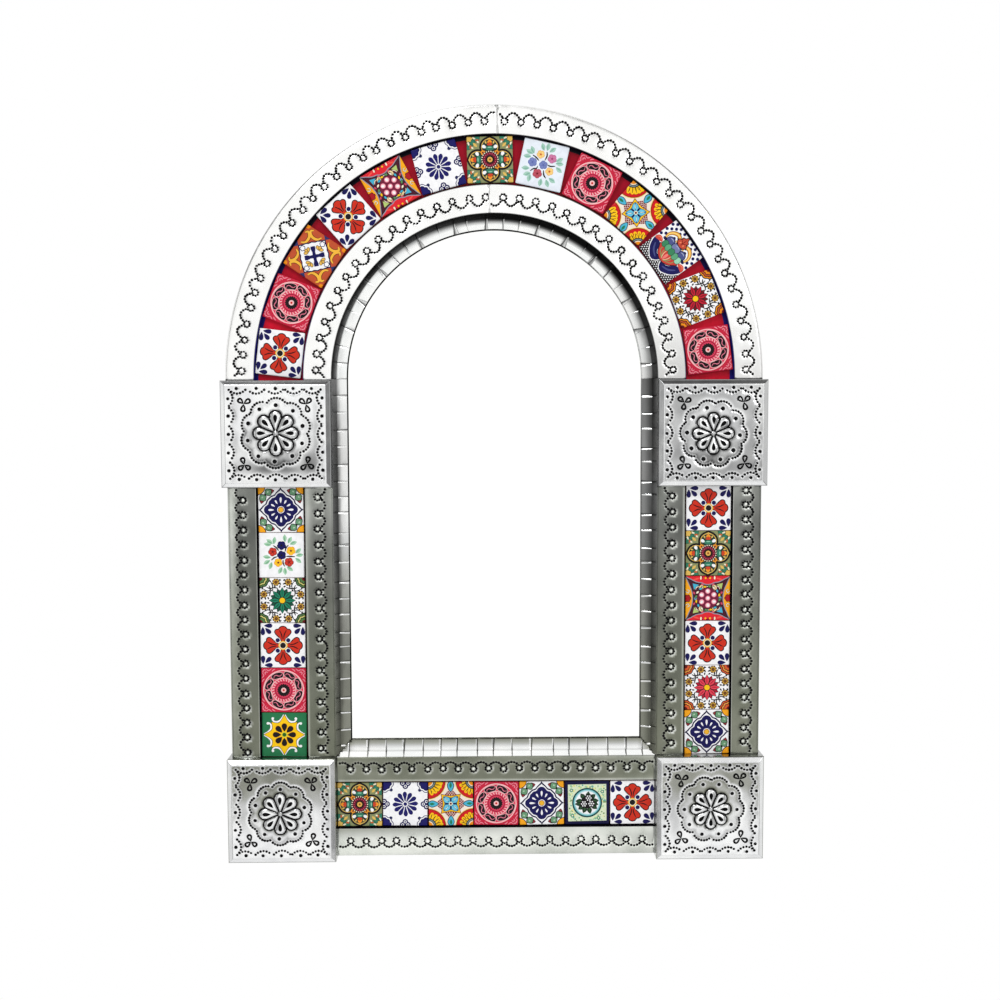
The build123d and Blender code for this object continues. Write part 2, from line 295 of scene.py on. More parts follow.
# ---- The painted designs ------------------------------------------------------
def clover_tile():
    """Four red clovers round a yellow ring, with navy leaves in the corners."""
    tile = Painting(WHITE)
    half = [
        (-1.3, 4.6), (-1.6, 6.0), (-4.0, 9.6), (-7.2, 13.0),
        (-8.8, 15.8), (-7.6, 18.2), (-4.6, 18.8), (-2.9, 21.0),
    ]
    clover = [(x * 0.97, y * 0.95) for x, y in rounded(half + [(0, 22.0)] + flipped(half))]
    tile.lined(srgb(204, 46, 26), srgb(34, 6, 12), 1.1, clover, 4)
    for side in (-1, 1):
        tile.around(srgb(44, 6, 12), stroke([(side * 0.8, 7.0), (side * 1.5, 12.0), (side * 3.9, 17.0)], 1.3))
    tile.lined(NAVY, WHITE, 0.6, disc(8.2, 0, 2.4), 4, 45)
    tile.paint(srgb(238, 186, 66), disc(0, 0, 5.1, 18))
    tile.paint(CREAM, disc(0, 0, 3.9))
    tile.paint(BLACK, disc(0, 0, 3.2))
    for x, y, length, angle in ((20.8, 22.0, 9.4, 180), (22.0, 20.8, 9.4, 270), (19.5, 19.5, 8.8, 225)):
        tile.around(NAVY, drop(x, y, length, 5.0, angle))
    return tile


def medallion_tile():
    """Pink-red ground with a ring of black S links round a dark flower."""
    rose = srgb(214, 58, 88)
    tile = Painting(srgb(198, 34, 62))
    for curl in (
        [(13.4, 24), (16.6, 21.8), (19.6, 23.8)], [(17.4, 19.6), (19.6, 20.4), (20.6, 18)],
        [(19.6, 22.2), (21.6, 22.6), (23.4, 20.4)], [(9.4, 23.6), (11.6, 22.4), (12.6, 20.9)],
    ):
        tile.both_ways(srgb(234, 136, 152), stroke(curl, 1.1))
    tile.paint(PALE_PINK, disc(0, 0, 22.7, 40))
    tile.paint(rose, disc(0, 0, 21.5, 40))
    link = [(-6.4, 0.8), (-5.4, 3.1), (-1.4, 3.3), (1.6, 3.0), (5.2, 2.0), (6.4, -0.8)]
    link = rounded(link + [(5.4, -3.1), (1.4, -3.3), (-1.6, -3.0), (-5.2, -2.0)])
    bend = [(-5.2, -1.0), (-3.4, 1.1), (-0.9, 0.8), (0.9, -0.8), (3.4, -1.1), (5.2, 1.0)]
    tile.lined(srgb(20, 10, 16), PALE_PINK, 0.5, bowed(link, 17.6), 8, 22.5)
    tile.around(srgb(226, 120, 142), bowed(stroke(bend, 0.9, 3), 17.6), 8, 22.5)
    tile.paint(PALE_PINK, disc(0, 0, 13.8, 36))
    tile.paint(rose, disc(0, 0, 13.0, 36))
    tile.around(PALE_PINK, oval(11.5, 0, 1.4, 0.6, 24), 24)
    tile.paint(srgb(150, 18, 48), disc(0, 0, 9.6, 28))
    tile.paint(srgb(214, 58, 88), disc(0, 0, 8.6, 28))
    tile.paint(BLACK, wavy_disc(0, 0, 6.2, 18, 1.1))
    tile.paint(PALE_PINK, disc(0, 0, 2.9))
    tile.paint(RED, disc(0, 0, 1.3, 8))
    return tile


def lattice_tile():
    """White pointed field with a navy cross, clay corners with yellow scrolls."""
    tile = Painting(srgb(190, 80, 45))
    scroll = [(4.6, 20.6), (6.8, 16.8), (11.4, 15.6), (15.6, 16.8), (18.2, 20.2), (15.8, 22.4)]
    tile.both_ways(srgb(60, 24, 16), stroke(scroll, 4.2))
    tile.both_ways(srgb(240, 180, 60), stroke(scroll, 2.9))
    tile.around(ORANGE, disc(23.2, 23.2, 2.6))
    field = both_eighths([
        (0, 19.8), (6, 17.9), (14, 16.5), (22, 15.9), (30, 14.5), (38, 14.6), (45, 14.9)])
    tile.paint(DEEP_NAVY, polar(field, 1.09))
    tile.paint(WHITE, polar(field))
    arm = [(0, -2.0), (4.6, -1.6), (8.2, -2.7), (10.9, -2.4), (10.9, 2.4), (8.2, 2.7), (4.6, 1.6), (0, 2.0)]
    tile.around(NAVY, arm, 4, 45)
    for turn in quarters:
        for x, y, angle in ((8.2, 0, 0), (7.9, 0.6, 48), (7.9, -0.6, -48)):
            tile.lined(srgb(232, 184, 84), srgb(60, 30, 20), 0.6, drop(x, y, 4.4, 2.5, angle), 1, turn)
    tile.lined(WHITE, NAVY, 0.8, wavy_disc(15.4, 0, 1.8, 5, 0.7), 4)
    tile.around(srgb(44, 50, 100), [(20.8, 0), (25.6, -4.8), (25.6, 4.8)], 4)
    return tile


def berry_tile():
    """Seven pink berries in a ring of coloured bits, red and yellow fields outside."""
    wine, rope, pale_leaf = srgb(112, 26, 54), srgb(150, 140, 156), srgb(176, 200, 112)
    berry, dull_pink = srgb(196, 74, 116), srgb(206, 70, 100)
    tile = Painting(srgb(72, 16, 38))
    for turn in (0, 180):
        sides = [(-22.5, 26), (-18.0, 21.6), (-12.0, 18.6), (-6.6, 17.8), (-4.0, 16.4), (0, 15.8)]
        field = rounded(sides + flipped(sides[:-1]), 3)
        tile.around(BLACK, swollen(field, 1.9), 1, turn)
        tile.lined(srgb(222, 34, 48), rope, 1.1, field, 1, turn)
        for side in (-1, 1):
            line = [(side * 6.2, 20.6), (side * 6.4, 23), (side * 4.6, 25)]
            tile.around(MAROON, stroke(line, 0.8), 1, turn)
            tile.around(CREAM, drop(side * 7.6, 25.4, 4.6, 1.9, -92), 1, turn)
            tile.around(YELLOW, disc(side * 2.5, 22.4, 1.1, 8), 1, turn)
            tile.around(srgb(240, 84, 70), oval(side * 13, 21.4, 3.6, 0.9, side * -16), 1, turn)
        tile.around(MAROON, wavy_disc(0, 24.6, 1.6, 5, 0.6), 1, turn)
    for turn in (90, 270):
        sides = [(-21.5, 26), (-15.4, 21.4), (-8, 18.4)]
        field = rounded(sides + [(0, 17.4)] + flipped(sides), 3)
        tile.around(BLACK, swollen(field, 1.9), 1, turn)
        tile.lined(srgb(246, 168, 24), rope, 1.1, field, 1, turn)
        for side in (-1, 1):
            curl = [(side * 8.6, 25.4), (side * 6.0, 22.0), (side * 8.8, 20.6), (side * 9.6, 23)]
            tile.around(BLACK, stroke(curl, 1.6), 1, turn)
            tile.around(CREAM, stroke(curl, 0.9), 1, turn)
        tile.lined(srgb(170, 20, 30), BLACK, 0.7, wavy_disc(0, 22.9, 3.0, 6, 0.9), 1, turn)
    for turn, colour in zip(quarters, (pale_leaf, TURQUOISE) * 2):
        tile.around(colour, [(9.6, 15.2), (16.6, 16.8), (15.0, 9.8), (12.8, 12.8)], 1, turn)
        tile.around(CREAM, stroke([(9.8, 13.6), (12.2, 12.4), (13.4, 9.8)], 0.8), 1, turn)
        tile.around(dull_pink, oval(15.3, 6.0, 1.6, 1.0, 60), 1, turn)
        tile.around(dull_pink, oval(6.0, 15.3, 1.6, 1.0, 30), 1, turn)
    for side in (-1, 1):
        seed = oval(side * 7.4, 11.9, 3.1, 2.4, side * -60)
        tile.around(srgb(240, 214, 160), seed, 2, 0)
        tile.around(BLACK, stroke([(side * 6.2, 14.4), (side * 7.2, 12), (side * 8.2, 9.6)], 0.9), 2, 0)
    tile.around(srgb(110, 170, 200), oval(13.6, 0, 1.5, 2.2), 2, 0)
    tile.around(CREAM, stroke([(-3.4, 14.2), (0, 13.0), (3.4, 14.2)], 0.8), 2, 0)
    for k in range(16):
        bit_colour = (YELLOW, TURQUOISE, CREAM, srgb(88, 140, 84))[k % 4]
        tile.lined(bit_colour, BLACK, 0.5, leaf(12.6, 0, 4.1, 2.2, 78), 1, 22.5 * k + 6)
    tile.paint(wine, wavy_disc(0, 0, 10.6, 6, 1.2, 90))
    tile.around(berry, disc(7.8, 0, 3.1), 6, 30)
    tile.around(PALE_PINK, disc(7.8, 0, 2.5), 6, 30)
    tile.around(WHITE, oval(8.0, 0.2, 1.7, 1.2, 20), 6, 30)
    tile.paint(berry, disc(0, 0, 3.0))
    tile.paint(PALE_PINK, disc(0, 0, 2.3))
    tile.paint(WHITE, disc(0.2, 0.3, 1.3, 8))
    return tile


def aster_tile():
    """White with a navy aster, scalloped navy corners and lumps at mid side."""
    violet = srgb(22, 20, 98)
    tile = Painting(WHITE)
    tile.lined(violet, NAVY, 0.25, drop(2.6, 0, 11.4, 4.5, 0), 12, 3)
    tile.around(WHITE, stroke([(2.6, 0), (8.4, 0), (12.2, 0)], 1.0), 12, 18)
    tile.paint(WHITE, disc(0, 0, 3.1))
    tile.lined(violet, NAVY, 0.4, disc(0, 0, 1.7))
    tile.around(srgb(36, 40, 84), disc(16.0, 15.8, 1.9, 10), 4)
    for colour, radius, rise in ((NAVY, 11.6, 0.9), (WHITE, 10.7, 0.9), (NAVY, 9.4, 0.9), (violet, 8.2, 0.5)):
        tile.around(colour, wavy_disc(25, 25, radius, 12, rise), 4)
    lumps = ((-2.9, 23.6), (2.9, 23.6), (0, 20.2))
    for x, y in lumps:
        tile.around(NAVY, disc(x, y, 3.2))
    for x, y in lumps:
        tile.around(WHITE, disc(x, y, 1.7, 10))
        tile.around(NAVY, disc(x, y, 0.95, 8))
    return tile


def pointed_disc(middle, radius, tip):
    """Round lobe above the centre, drawn out to a point."""
    arc = [radians(120 + 15 * k) for k in range(21)]
    return [(radius * cos(a), middle + radius * sin(a)) for a in arc] + [(0, tip)]


def quatrefoil_tile():
    """Pointed quatrefoil in black and gold round a maroon medallion."""
    tile = Painting(srgb(136, 142, 98))
    deep, gold = srgb(48, 122, 96), srgb(222, 184, 92)
    for turn in quarters:
        for shape in (
            leaf(10.6, 24.8, 9.6, 5.8, -38), leaf(24.8, 10.6, 9.6, 5.8, 128),
            oval(18.6, 18.8, 3.6, 2.6, 45),
        ):
            tile.lined(deep, BLACK, 0.4, shape, 1, turn)
        for x, y, angle in ((13.0, 19.4, 60), (19.4, 13.0, 30), (17.2, 22.8, 20), (22.8, 17.2, 70)):
            tile.around(CREAM, oval(x, y, 2.2, 0.9, angle), 1, turn)
        tile.lined(gold, BLACK, 0.5, wavy_disc(22.6, 22.6, 3.0, 6, 1.0), 1, turn)
        tile.around(srgb(196, 92, 40), oval(20.6, 13.6, 1.9, 1.0, 100), 1, turn)
        tile.around(srgb(196, 92, 40), oval(13.6, 20.6, 1.9, 1.0, -10), 1, turn)
        tile.around(gold, leaf(13.4, 13.4, 6.4, 2.8, 45), 1, turn)
    for colour, radius, tip in ((BLACK, 11.3, 25.4), (gold, 9.1, 23.2), (srgb(36, 56, 46), 8.3, 21.7)):
        tile.around(colour, pointed_disc(13.2, radius, tip))
    for turn in quarters:
        tile.around(srgb(240, 150, 40), rounded([(-2.6, 18.4), (0, 21.4), (2.6, 18.4), (0, 17.2)]), 1, turn)
        tile.around(srgb(204, 66, 34), rounded([(-3.0, 15.8), (0, 18.6), (3.0, 15.8), (0, 14.8)]), 1, turn)
        for side in (-1, 1):
            tile.around(WHITE, drop(side * 3.4, 12.2, 5.4, 3.6, 90 - side * 62), 1, turn)
            tile.around(gold, drop(side * 3.6, 16.4, 3.2, 1.8, 90 - side * 20), 1, turn)
        tile.around(deep, oval(0, 12.0, 4.6, 2.4), 1, turn)
        tile.around(srgb(150, 204, 176), oval(0, 12.9, 2.4, 0.6), 1, turn)
    tile.lined(srgb(232, 150, 44), BLACK, 0.5, wavy_disc(10.6, 0, 2.1, 5, 0.7), 4, 45)
    tile.around(MAROON, disc(10.6, 0, 1.0, 8), 4, 45)
    tile.paint(BLACK, disc(0, 0, 9.6, 24))
    tile.around(CREAM, disc(8.7, 0, 0.7, 7), 22)
    tile.paint(srgb(112, 16, 42), disc(0, 0, 7.7, 24))
    tile.around(srgb(206, 84, 110), disc(6.4, 0, 0.6, 7), 16)
    tile.paint(BLACK, disc(0, 0, 4.7, 18))
    tile.paint(srgb(226, 176, 84), disc(0, 0, 2.9, 12))
    tile.paint(srgb(150, 70, 24), disc(0, 0, 1.2, 8))
    return tile


def five_petals(x, y, radius, angle):
    """Flower of five round petals."""
    outline = []
    for k in range(25):
        a = 2 * pi * k / 25
        size = radius * (0.84 + 0.16 * abs(sin(2.5 * a)) ** 0.5)
        outline.append((x + size * cos(a + radians(angle)), y + size * sin(a + radians(angle))))
    return outline


def posy_tile(flowers, stems, leaves, leaf_size, leaf_green, leaf_vein, ground):
    """A loose posy: five-petal flowers, short stems and sprays of pale leaves."""
    tile = Painting(ground)
    for x, y, angle in leaves:
        tile.paint(leaf_green, leaf(x, y, *leaf_size, angle, 7))
        tile.paint(leaf_vein, turned_about(leaf(x, y, leaf_size[0] * 0.85, 1.5, angle, 7), x, y, 7))
    for stem in stems:
        tile.paint(BLACK, stroke(stem, 1.6))
    for x, y, angle, size, petal, shade_colour, heart in flowers:
        tile.paint(shade_colour, five_petals(x, y, size + 0.6, angle))
        tile.paint(petal, five_petals(x, y, size, angle))
        for k in range(5):
            crease = turned(stroke([(0.9, 0), (size * 0.72, 0)], 0.6, 2), angle + 72 * k)
            tile.paint(shade_colour, moved(crease, x, y))
        tile.paint(heart, disc(x, y, 1.1, 8))
    return tile


def turned_about(shape, x, y, angle):
    """Shape turned about a point of its own."""
    return moved(turned(moved(shape, -x, -y), angle), x, y)


def bright_posy_tile():
    """Posy in navy, red and yellow."""
    navy, red, straw = srgb(14, 10, 88), srgb(205, 55, 38), srgb(250, 198, 40)
    return posy_tile([
        (0, 10.8, 90, 4.5, navy, DEEP_NAVY, BLACK), (0, 0, 70, 4.5, navy, DEEP_NAVY, BLACK),
        (-9.7, 3.8, 80, 4.4, red, MAROON, MAROON), (8.1, -7.6, 100, 4.6, red, MAROON, MAROON),
        (10.3, 4.9, 90, 4.5, straw, ORANGE, MAROON), (-3.8, -8.1, 85, 4.1, straw, ORANGE, MAROON),
    ], (
        [(-9.2, 10.8), (-5.4, 8.1), (-3.2, 4.9)], [(7.6, 11.3), (4.9, 8.1), (3.8, 3.8)],
        [(4.9, -1.3), (9.2, -1.3), (14.6, -1.6)], [(-4.9, -1.6), (-8.1, -2.7), (-11.3, -5.4)],
        [(1.6, -4.9), (1.6, -8.6), (3.2, -12.4)],
    ), (
        (-8.5, 12, 80), (-9.5, 12.5, 144), (-11, 11.5, 172), (4, 14.5, 94), (7, 13, 60), (9, 12, 20),
        (15, 2, 40), (15.5, -0.5, 8), (15, -3, -40), (-12, -2.5, 172), (-12.5, -5.5, 210),
        (-10.8, -7.5, 252), (0.5, -13, 242), (3.2, -13.5, 275), (5.5, -12.5, 325),
    ), (8.6, 4.4), srgb(166, 208, 176), srgb(122, 176, 138), WHITE)


def soft_posy_tile():
    """Posy in soft blue, yellow, pink and red."""
    blue, blue_line = srgb(118, 132, 188), srgb(92, 104, 168)
    straw, straw_line = srgb(248, 208, 126), srgb(226, 168, 92)
    return posy_tile([
        (-4.2, 10.6, 90, 3.9, straw, straw_line, TERRACOTTA), (0.8, 0.2, 70, 4.1, blue, blue_line, blue_line),
        (-11.2, 0.9, 80, 4.4, blue, blue_line, blue_line),
        (-3.7, -10.0, 100, 4.6, srgb(190, 80, 96), srgb(158, 54, 72), MAROON),
        (8.8, 8.6, 90, 4.4, srgb(206, 122, 164), srgb(180, 94, 138), srgb(160, 60, 104)),
        (8.7, -5.2, 85, 3.9, straw, straw_line, TERRACOTTA),
    ], (
        [(-12.6, 8.3), (-8.4, 6.4), (-4.8, 3.7)], [(1.7, 14.6), (2.7, 10.4), (1.3, 5.2)],
        [(13.6, 1.6), (8.8, 0.4), (5.2, 1.2)], [(-11.8, -9.0), (-9.0, -6.0), (-5.8, -5.0), (-4.8, -2.2)],
        [(6.4, -13), (3.6, -10.2), (2.2, -5.2)],
    ), (
        (-11.4, 9.8, 122), (-12.4, 9.4, 160), (-13.6, 6.4, 186), (-1.4, 15.0, 116), (1.8, 15.6, 88),
        (4.4, 14.8, 44), (13.4, 6.2, 38), (13.4, 4.6, 4), (14.6, 0.8, -32), (-13.0, -6.2, 188),
        (-10.6, -10.8, 204), (-11.0, -12.0, 266), (1.6, -14.2, 268), (6.8, -14.2, 298), (9.4, -12.0, 334),
    ), (8.8, 4.8), srgb(164, 204, 188), srgb(130, 178, 160), srgb(230, 237, 246))


def fan_tile():
    """Red and yellow quarter fans in the corners round a turquoise square."""
    tile = Painting(srgb(240, 228, 214))
    for turn in quarters:
        for row, count in enumerate((5, 4, 3)):
            for step in range(count):
                x, y = (step - (count - 1) / 2) * 2.7, 10.4 + row * 1.6
                tile.around(srgb(128, 16, 36), disc(x, y, 1.25, 4), 1, turn)
        tip = [(0, 25.4), (-3.2, 21.5), (-2.2, 17.0), (0, 14.2)]
        tip = rounded(tip + flipped(tip[1:-1]))
        tile.lined(srgb(74, 178, 208), srgb(40, 26, 60), 0.8, tip, 1, turn)
        tile.around(GREEN, leaf(0, 17.6, 6.6, 2.9, 90), 1, turn)
    square = both_eighths([(0, 8.6), (18, 9.3), (33, 11.2), (41, 13.2), (45, 14.4)])
    for colour, scale in (
        (MAROON, 1.1), (YELLOW, 1.01), (srgb(170, 120, 40), 0.85), (srgb(58, 140, 130), 0.81),
    ):
        tile.paint(colour, polar(square, scale))
    for side in (-1, 1):
        petal = rounded([
            (0.6, side * 0.4), (5.2, side * 3.4), (9.0, side * 2.2), (10.4, side * 0.5),
            (5.4, side * 0.4),
        ])
        tile.lined(srgb(104, 196, 226), NAVY, 0.6, petal, 4, 45)
    tile.around(CREAM, stroke([(4.4, 0), (6.6, 0.2), (9.0, 0)], 0.6), 4, 45)
    tile.around(NAVY, leaf(1.5, 0, 5.4, 2.2, 0), 4, 0)
    tile.paint(CREAM, disc(0, 0, 2.2, 8))
    tile.paint(MAROON, disc(0, 0, 1.3, 8))
    for turn in quarters:
        corner = turned([(25.4, 25.4)], turn)[0]
        for colour, radius in (
            (srgb(244, 206, 110), 20.6), (srgb(128, 10, 20), 19.8), (srgb(204, 22, 28), 19.0),
        ):
            tile.paint(colour, disc(*corner, radius, 32))
        inward = 225 + turn
        straw = srgb(250, 196, 22)
        for lean in (-36, -18, 0, 18, 36):
            petal = drop(2, 0, 15.0, 6.0, inward + lean)
            tile.paint(srgb(60, 16, 10), moved(swollen(petal, 0.4), *corner))
            tile.paint(straw, moved(petal, *corner))
        for lean in (-27, -9, 9, 27):
            head = turned(disc(14.4, 0, 1.9, 10), inward + lean)
            tile.paint(straw, moved(head, *corner))
            line = turned(stroke([(8.4, 0), (11.4, 0.15), (14.8, 0)], 0.8), inward + lean)
            tile.paint(srgb(60, 20, 10), moved(line, *corner))
        for colour, radius in ((BLACK, 9.2), (GREY_BLUE, 8.2), (BLACK, 7.0), (CREAM, 6.2), (ORANGE, 5.2)):
            tile.paint(colour, disc(*corner, radius, 20))
    return tile


def staggered(row_count, half_count, across, top, down):
    """Places of a dotted ground, every other row shifted by half a step."""
    return [
        ((column + 0.5 * (row % 2)) * across, top - row * down)
        for row in range(row_count) for column in range(-half_count, half_count + 1)]


def tulip_tile():
    """Blossom with a striped cup, lobes, scrolls and navy leaves."""
    tile = Painting(WHITE)
    for x, y in staggered(8, 8, 6.6, 23, 3.9):
        tile.paint(NAVY, disc(x, y, 1.8, 9))
    tile.paint(BLACK, [(-26, -8), (-16, -10), (0, -11), (16, -10), (26, -8), (26, -26), (-26, -26)])
    for x, y in staggered(9, 11, 2.9, -8.8, 2.2):
        tile.paint(WHITE, disc(x, y, 0.76, 6))
    blade = rounded([
        (1.0, -13.4), (7.0, -13.2), (10.9, -10.4), (13.4, -5.6), (17.6, -2.8), (23.6, -3.4),
        (23.0, -8.0), (19.8, -13.8), (15.2, -18.0), (9.1, -21.2), (4.2, -19.4),
    ])
    tip = rounded([(14.6, -1.6), (16.6, 1.0), (20.4, 2.0), (23.6, -0.2), (23.8, -4.2), (18.6, -3.2)])
    for mirror in (list, flipped):
        tile.paint(WHITE, swollen(mirror(blade), 0.9), swollen(mirror(tip), 0.9))
        tile.paint(srgb(18, 18, 84), mirror(blade))
        tile.paint(srgb(66, 72, 128), mirror(stroke([(6.4, -16.6), (13.6, -13.4), (18.6, -7.4)], 2.0)))
        tile.paint(srgb(206, 76, 60), mirror(tip))
        tile.paint(srgb(238, 130, 100), mirror(stroke([(16.4, -0.4), (20, 0.6), (22.6, -1.4)], 0.9)))
    cup = [(-13.2, -2.0), (-12.2, -6.6), (-8.4, -11.2), (-3.2, -13.6)]
    cup = rounded(cup + [(0, -13.9)] + flipped(cup))
    tile.lined(srgb(200, 62, 54), BLACK, 0.9, cup)
    olive, slate = srgb(128, 150, 90), srgb(76, 84, 138)
    for side in (-1, 1):
        for colour, reach in ((olive, 5.6), (srgb(226, 196, 150), 3.6), (olive, 9.0)):
            stripe = [(side * 1.0, -12.4), (side * reach, -7.6), (side * reach * 1.1, -2.6)]
            tile.paint(colour, stroke(stripe, 0.9))
    tile.paint(srgb(238, 124, 116), leaf(0, -12.4, 10.4, 3.2, 90))
    for x, width, colour in ((-9.6, 4.9, slate), (9.4, 4.9, slate), (0, 5.3, srgb(116, 124, 170))):
        tile.lined(colour, srgb(26, 26, 66), 0.8, oval(x, 6.6, width, 4.4))
        tile.paint(srgb(176, 184, 214), stroke([(x - 2.4, 8.6), (x, 9.4), (x + 2.4, 8.6)], 0.8))
    for side in (-1, 1):
        tile.paint(DEEP_NAVY, leaf(side * 12.4, 2.6, 6.4, 3.6, 90 - side * 66))
    dark, middle, light = srgb(58, 132, 92), srgb(92, 164, 122), srgb(150, 208, 178)
    for x, colour in ((-11.2, dark), (11.6, light), (-5.8, middle), (6.0, middle), (0.1, dark)):
        tile.lined(colour, srgb(14, 60, 40), 0.5, oval(x, 0.4, 3.2, 3.9))
    scroll = [(16.6, 5.0), (17.2, 9.8), (14.8, 14.4), (10.2, 17.2), (5.6, 16.2), (4.4, 12.8), (6.6, 11.4)]
    for mirror in (list, flipped):
        for colour, width in ((BLACK, 4.6), (srgb(226, 150, 44), 3.6), (srgb(250, 214, 120), 1.5)):
            tile.paint(colour, mirror(stroke(scroll, width)))
    top = [(-4.6, 12.2), (-6.0, 15.6), (-3.6, 17.4), (-4.0, 20.0), (-1.8, 21.0)]
    top = rounded(top + [(0, 24.4)] + flipped(top) + [(0, 10.8)])
    tile.lined(srgb(196, 74, 52), BLACK, 0.9, top)
    for line in ([(-3.4, 18.4), (0, 15.0), (3.4, 18.4)], [(0, 21.6), (0, 12.4)]):
        tile.paint(srgb(112, 24, 20), stroke(line, 0.8))
    tile.paint(srgb(236, 130, 90), oval(-2.4, 14.4, 1.3, 0.7, 60), oval(2.4, 14.4, 1.3, 0.7, -60))
    return tile


def daisy_tile(petal, petal_shade, corner, corner_shade):
    """White with a double daisy, ringed corners, eight small flowers and black vines."""
    tile = Painting(WHITE)
    vines = (
        ([(4.6, 14.6), (8.0, 13.4), (13.4, 13.2), (16.6, 14.6)], 1.5),
        ([(13.4, 4.6), (14.2, 8.6), (13.2, 13.2), (14.8, 17.0)], 1.5),
        ([(11.2, 13.6), (10.4, 16.4), (12.6, 20.8)], 1.3),
        ([(13.6, 11.2), (16.4, 10.4), (20.8, 12.6)], 1.3),
    )
    spots = (
        (2.6, 15.4), (15.4, 2.6), (8.4, 15.4), (15.6, 8.0), (2.2, 18.6), (18.6, 2.2),
        (13.4, 21.6), (21.6, 13.4), (11.4, 11.0), (2.4, 22.8), (22.8, 2.4),
    )
    ring = srgb(206, 158, 62)
    for turn in quarters:
        for line, width in vines:
            tile.around(BLACK, stroke(line, width), 1, turn)
        for x, y in spots:
            tile.around(BLACK, oval(x, y, 1.5, 0.85, x * 11), 1, turn)
        for colour, radius in (
            (BLACK, 9.9), (corner, 8.8), (BLACK, 7.6), (corner_shade, 6.6), (BLACK, 5.2), (corner, 4.3),
        ):
            tile.around(colour, wavy_disc(24.2, 24.2, radius, 9, 0.9), 1, turn)
        tile.around(MAROON, disc(24, 24, 2.4, 8), 1, turn)
        for x, y in ((6.8, 20.2), (20.2, 6.8)):
            tile.around(BLACK, wavy_disc(x, y, 3.5, 8, 0.9), 1, turn)
            for k in range(8):
                dab = moved(turned(oval(2.7, 0, 1.2, 0.8), 45 * k), x, y)
                tile.around(ring, dab, 1, turn)
            tile.around(srgb(150, 84, 30), disc(x, y, 0.9, 7), 1, turn)
    blade = [(3, -0.8), (6.0, -1.9), (8.6, -2.3), (11.2, -1.4), (14.2, 0)]
    blade += [(x, -y) for x, y in reversed(blade[:-1])]
    back = [(x * 0.96, y * 1.1) for x, y in blade]
    tile.lined(petal_shade, BLACK, 0.7, back, 8, 22.5)
    tile.lined(petal, BLACK, 0.7, blade, 8)
    tile.around(petal_shade, stroke([(5, 0), (8, 0.2), (11.8, 0)], 1.0), 8)
    tile.paint(BLACK, disc(0, 0, 3.9))
    tile.paint(YELLOW, disc(0, 0, 3.1))
    return tile


def red_daisy_tile():
    """Daisy in deep red with orange corners."""
    return daisy_tile(srgb(192, 24, 48), MAROON, ORANGE, TERRACOTTA)


def pink_daisy_tile():
    """Daisy in coral red with orange corners."""
    return daisy_tile(srgb(228, 66, 84), srgb(166, 22, 48), srgb(218, 92, 44), srgb(240, 156, 66))


def green_daisy_tile():
    """Daisy in green with green and gold corners."""
    return daisy_tile(srgb(26, 128, 96), srgb(10, 78, 60), srgb(84, 124, 70), srgb(206, 204, 118))


def navy_star_tile():
    """Navy pointed field with white drops, green leaves and orange corners."""
    tile = Painting(WHITE)
    body = [
        (0, 18.6), (6, 18.4), (12, 17.6), (18, 16.2), (23, 15.2), (28, 15.3), (34, 15.9),
        (40, 15.9), (45, 15.7),
    ]
    pale = [
        (0, 22.0), (3, 20.6), (8, 19.6), (14, 18.4), (20, 16.9), (24, 16.5), (29, 16.7),
        (35, 17.2), (45, 17.0),
    ]
    edge = [
        (0, 24.9), (3, 22.9), (8, 21.4), (14, 20.0), (20, 18.5), (24, 18.1), (29, 18.3),
        (35, 18.8), (45, 18.6),
    ]
    sage = srgb(104, 150, 114)
    for turn in quarters:
        for x, y, angle in ((7.2, 21.2, -12), (21.2, 7.2, 102)):
            tile.lined(srgb(140, 44, 48), BLACK, 0.5, drop(x, y, 6.6, 5.4, angle), 1, turn)
        for x, y in ((13.4, 19.4), (19.4, 13.4)):
            tile.lined(sage, BLACK, 0.8, wavy_disc(x, y, 2.9, 4, 0.8, 20), 1, turn)
            tile.around(srgb(176, 206, 176), oval(x + 0.4, y + 0.5, 1.2, 0.8, -45), 1, turn)
        tile.around(BLACK, disc(16.8, 16.8, 1.2, 8), 1, turn)
        tile.lined(srgb(246, 166, 26), BLACK, 0.9, disc(25.4, 25.4, 8.2, 20), 1, turn)
    for colour, eighth in ((DEEP_NAVY, edge), (WHITE, pale), (NAVY, body)):
        tile.paint(colour, polar(both_eighths(eighth)))
    tile.around(WHITE, drop(7.2, 0, 6.6, 2.3, 0), 4)
    for lean in (30, -30):
        tile.around(WHITE, drop(7.2, 0, 5.0, 1.9, 0), 4, lean)
    tile.paint(WHITE, disc(0, 0, 4.0))
    tile.paint(MAROON, disc(0, 0, 3.3))
    tile.paint(srgb(238, 180, 48), wavy_disc(0, 0, 2.3, 5, 0.6))
    return tile


